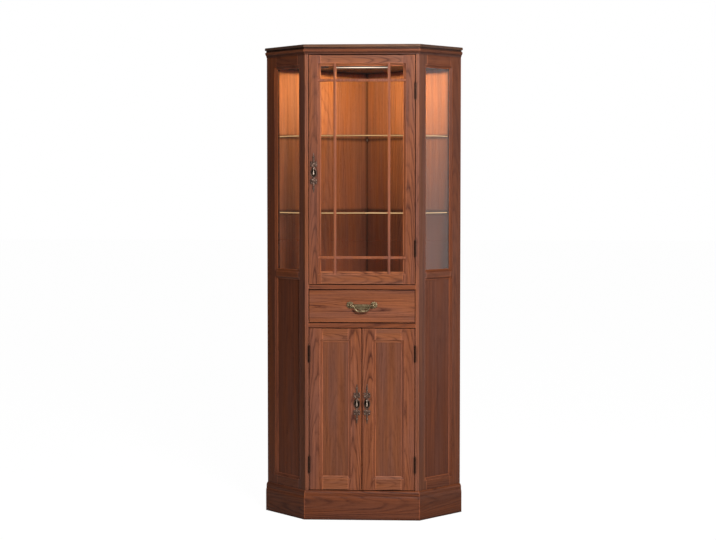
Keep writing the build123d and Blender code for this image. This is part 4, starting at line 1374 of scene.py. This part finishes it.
@dataclass
class Studio:
    """A pale floor, soft lamps, a white surround and the photograph's camera."""

    camera_place: Place = (0.2492, -6.2399, 1.3458)
    turn_left: float = 2.54
    look_down: float = 2.51
    lens: float = 75.44
    sensor: float = 36.0
    axis_above_middle: float = 20
    image_width: float = 716
    floor_size: float = 60.0
    surround: float = 0.10
    mirrored: float = 0.09
    floor_white: float = 1.09

    def build_camera(self) -> None:
        """Place the camera where the photograph was taken from."""
        data = bpy.data.cameras.new("camera")
        data.lens = self.lens
        data.sensor_width = self.sensor
        data.sensor_fit = "HORIZONTAL"
        data.shift_y = -self.axis_above_middle / self.image_width
        data.clip_end = 200.0
        camera = bpy.data.objects.new("camera", data)
        camera.location = self.camera_place
        camera.rotation_euler = (math.radians(90 - self.look_down), 0.0, math.radians(self.turn_left))
        show(camera)
        bpy.context.scene.camera = camera

    def seen_directly(self, g: Graph) -> bpy.types.NodeSocket:
        """Whether a ray shows the surround itself: from the camera, or through glass without a reflection."""
        path = g.add("ShaderNodeLightPath").outputs
        straight = g.math("LESS_THAN", path["Glossy Depth"], 0.5)
        return g.math("MAXIMUM", path["Is Camera Ray"], g.product(path["Is Transmission Ray"], straight))

    def build_floor(self) -> None:
        """Lay the floor."""
        bm = bmesh.new()
        bmesh.ops.create_grid(bm, x_segments=2, y_segments=2, size=self.floor_size / 2)
        floor = solid_from(bm, "floor")
        material, g, shader = start_material("pale_floor")
        wear = g.noise(object_place(g), (3.0, 3.0, 3.0), 3.0)
        g.feed(g.blend(g.remap(wear, 0.3, 0.7), (0.80, 0.80, 0.79), (0.84, 0.84, 0.83)), shader.inputs["Base Color"])
        g.feed_all(shader, {"Roughness": 0.8, "Specular IOR Level": 0.1})
        white = g.feed_all(g.add("ShaderNodeEmission"), {"Color": (1.0, 1.0, 1.0), "Strength": self.floor_white})
        mix_surface(g, material, g.product(self.seen_directly(g), 0.9), shader, white)
        floor.data.materials.append(material)

    def build_surround(self) -> None:
        """A white world that lights the object only softly."""
        world = bpy.data.worlds.new("surround")
        bpy.context.scene.world = world
        world.use_nodes = True
        g = Graph(world.node_tree)
        path = g.add("ShaderNodeLightPath").outputs
        inside_glass = g.math("MULTIPLY", path["Is Transmission Ray"], path["Glossy Depth"], clamp=True)
        glossy = g.math("MAXIMUM", path["Is Glossy Ray"], inside_glass)
        unseen = g.remap(glossy, 0.0, 1.0, self.surround, self.mirrored)
        g.feed_all(world.node_tree.nodes["Background"], {
            "Color": (1.0, 1.0, 1.0), "Strength": g.math("MAXIMUM", unseen, self.seen_directly(g)),
        })

    def add_softbox(self, name: str, place: Place, aim: Place, size: tuple[float, float], watts: float) -> None:
        """Add one soft lamp.

        Args:
            name: Its name.
            place: Where it stands.
            aim: The point that it faces.
            size: Its width and height.
            watts: Its power.
        """
        light = bpy.data.lights.new(name, "AREA")
        light.shape = "RECTANGLE"
        light.size, light.size_y = size
        light.energy = watts
        lamp = bpy.data.objects.new(name, light)
        lamp.location = place
        lamp.rotation_euler = (Vector(aim) - Vector(place)).to_track_quat("-Z", "Y").to_euler()
        show(lamp)

    def build(self) -> None:
        """Build the whole studio."""
        self.build_camera()
        self.build_floor()
        self.build_surround()
        self.add_softbox("key_lamp", (1.25, -3.7, 2.8), (0.0, -0.2, 1.35), (1.0, 1.4), 122.0)
        self.add_softbox("white_card", (3.4, -0.35, 1.3), (0.2, -0.3, 1.3), (1.6, 2.2), 11.0)
        bpy.context.scene.view_settings.view_transform = "Standard"


def main() -> None:
    """Build every sub-assembly in order."""
    logging.basicConfig(level=logging.INFO, format="%(name)s: %(message)s")
    Studio().build()
    Carcase().dress()
    for door in (
        FramedDoor("glass_door", 47.5 * MM, 46 * MM, 5.9, "glass_door_pane"),
        FramedDoor("left_door", 54 * MM, 55 * MM, 61.1, "left_door_panel"),
        FramedDoor("right_door", 54 * MM, 55 * MM, 91.7, "right_door_panel"),
    ):
        door.dress()
    Drawer().dress()
    plate, well, rubbed = PLATE_BRASS.material(), SHADED_WELL_BRASS.material(), RUBBED_BRASS.material()
    for side in ("glass_door", "left_door", "right_door"):
        Pull(side, f"{side}_pull").build(plate, well, rubbed)
    BailHandle().build(AGED_BRASS.material())
    Lamp().build()


if __name__ == "__main__":
    main()
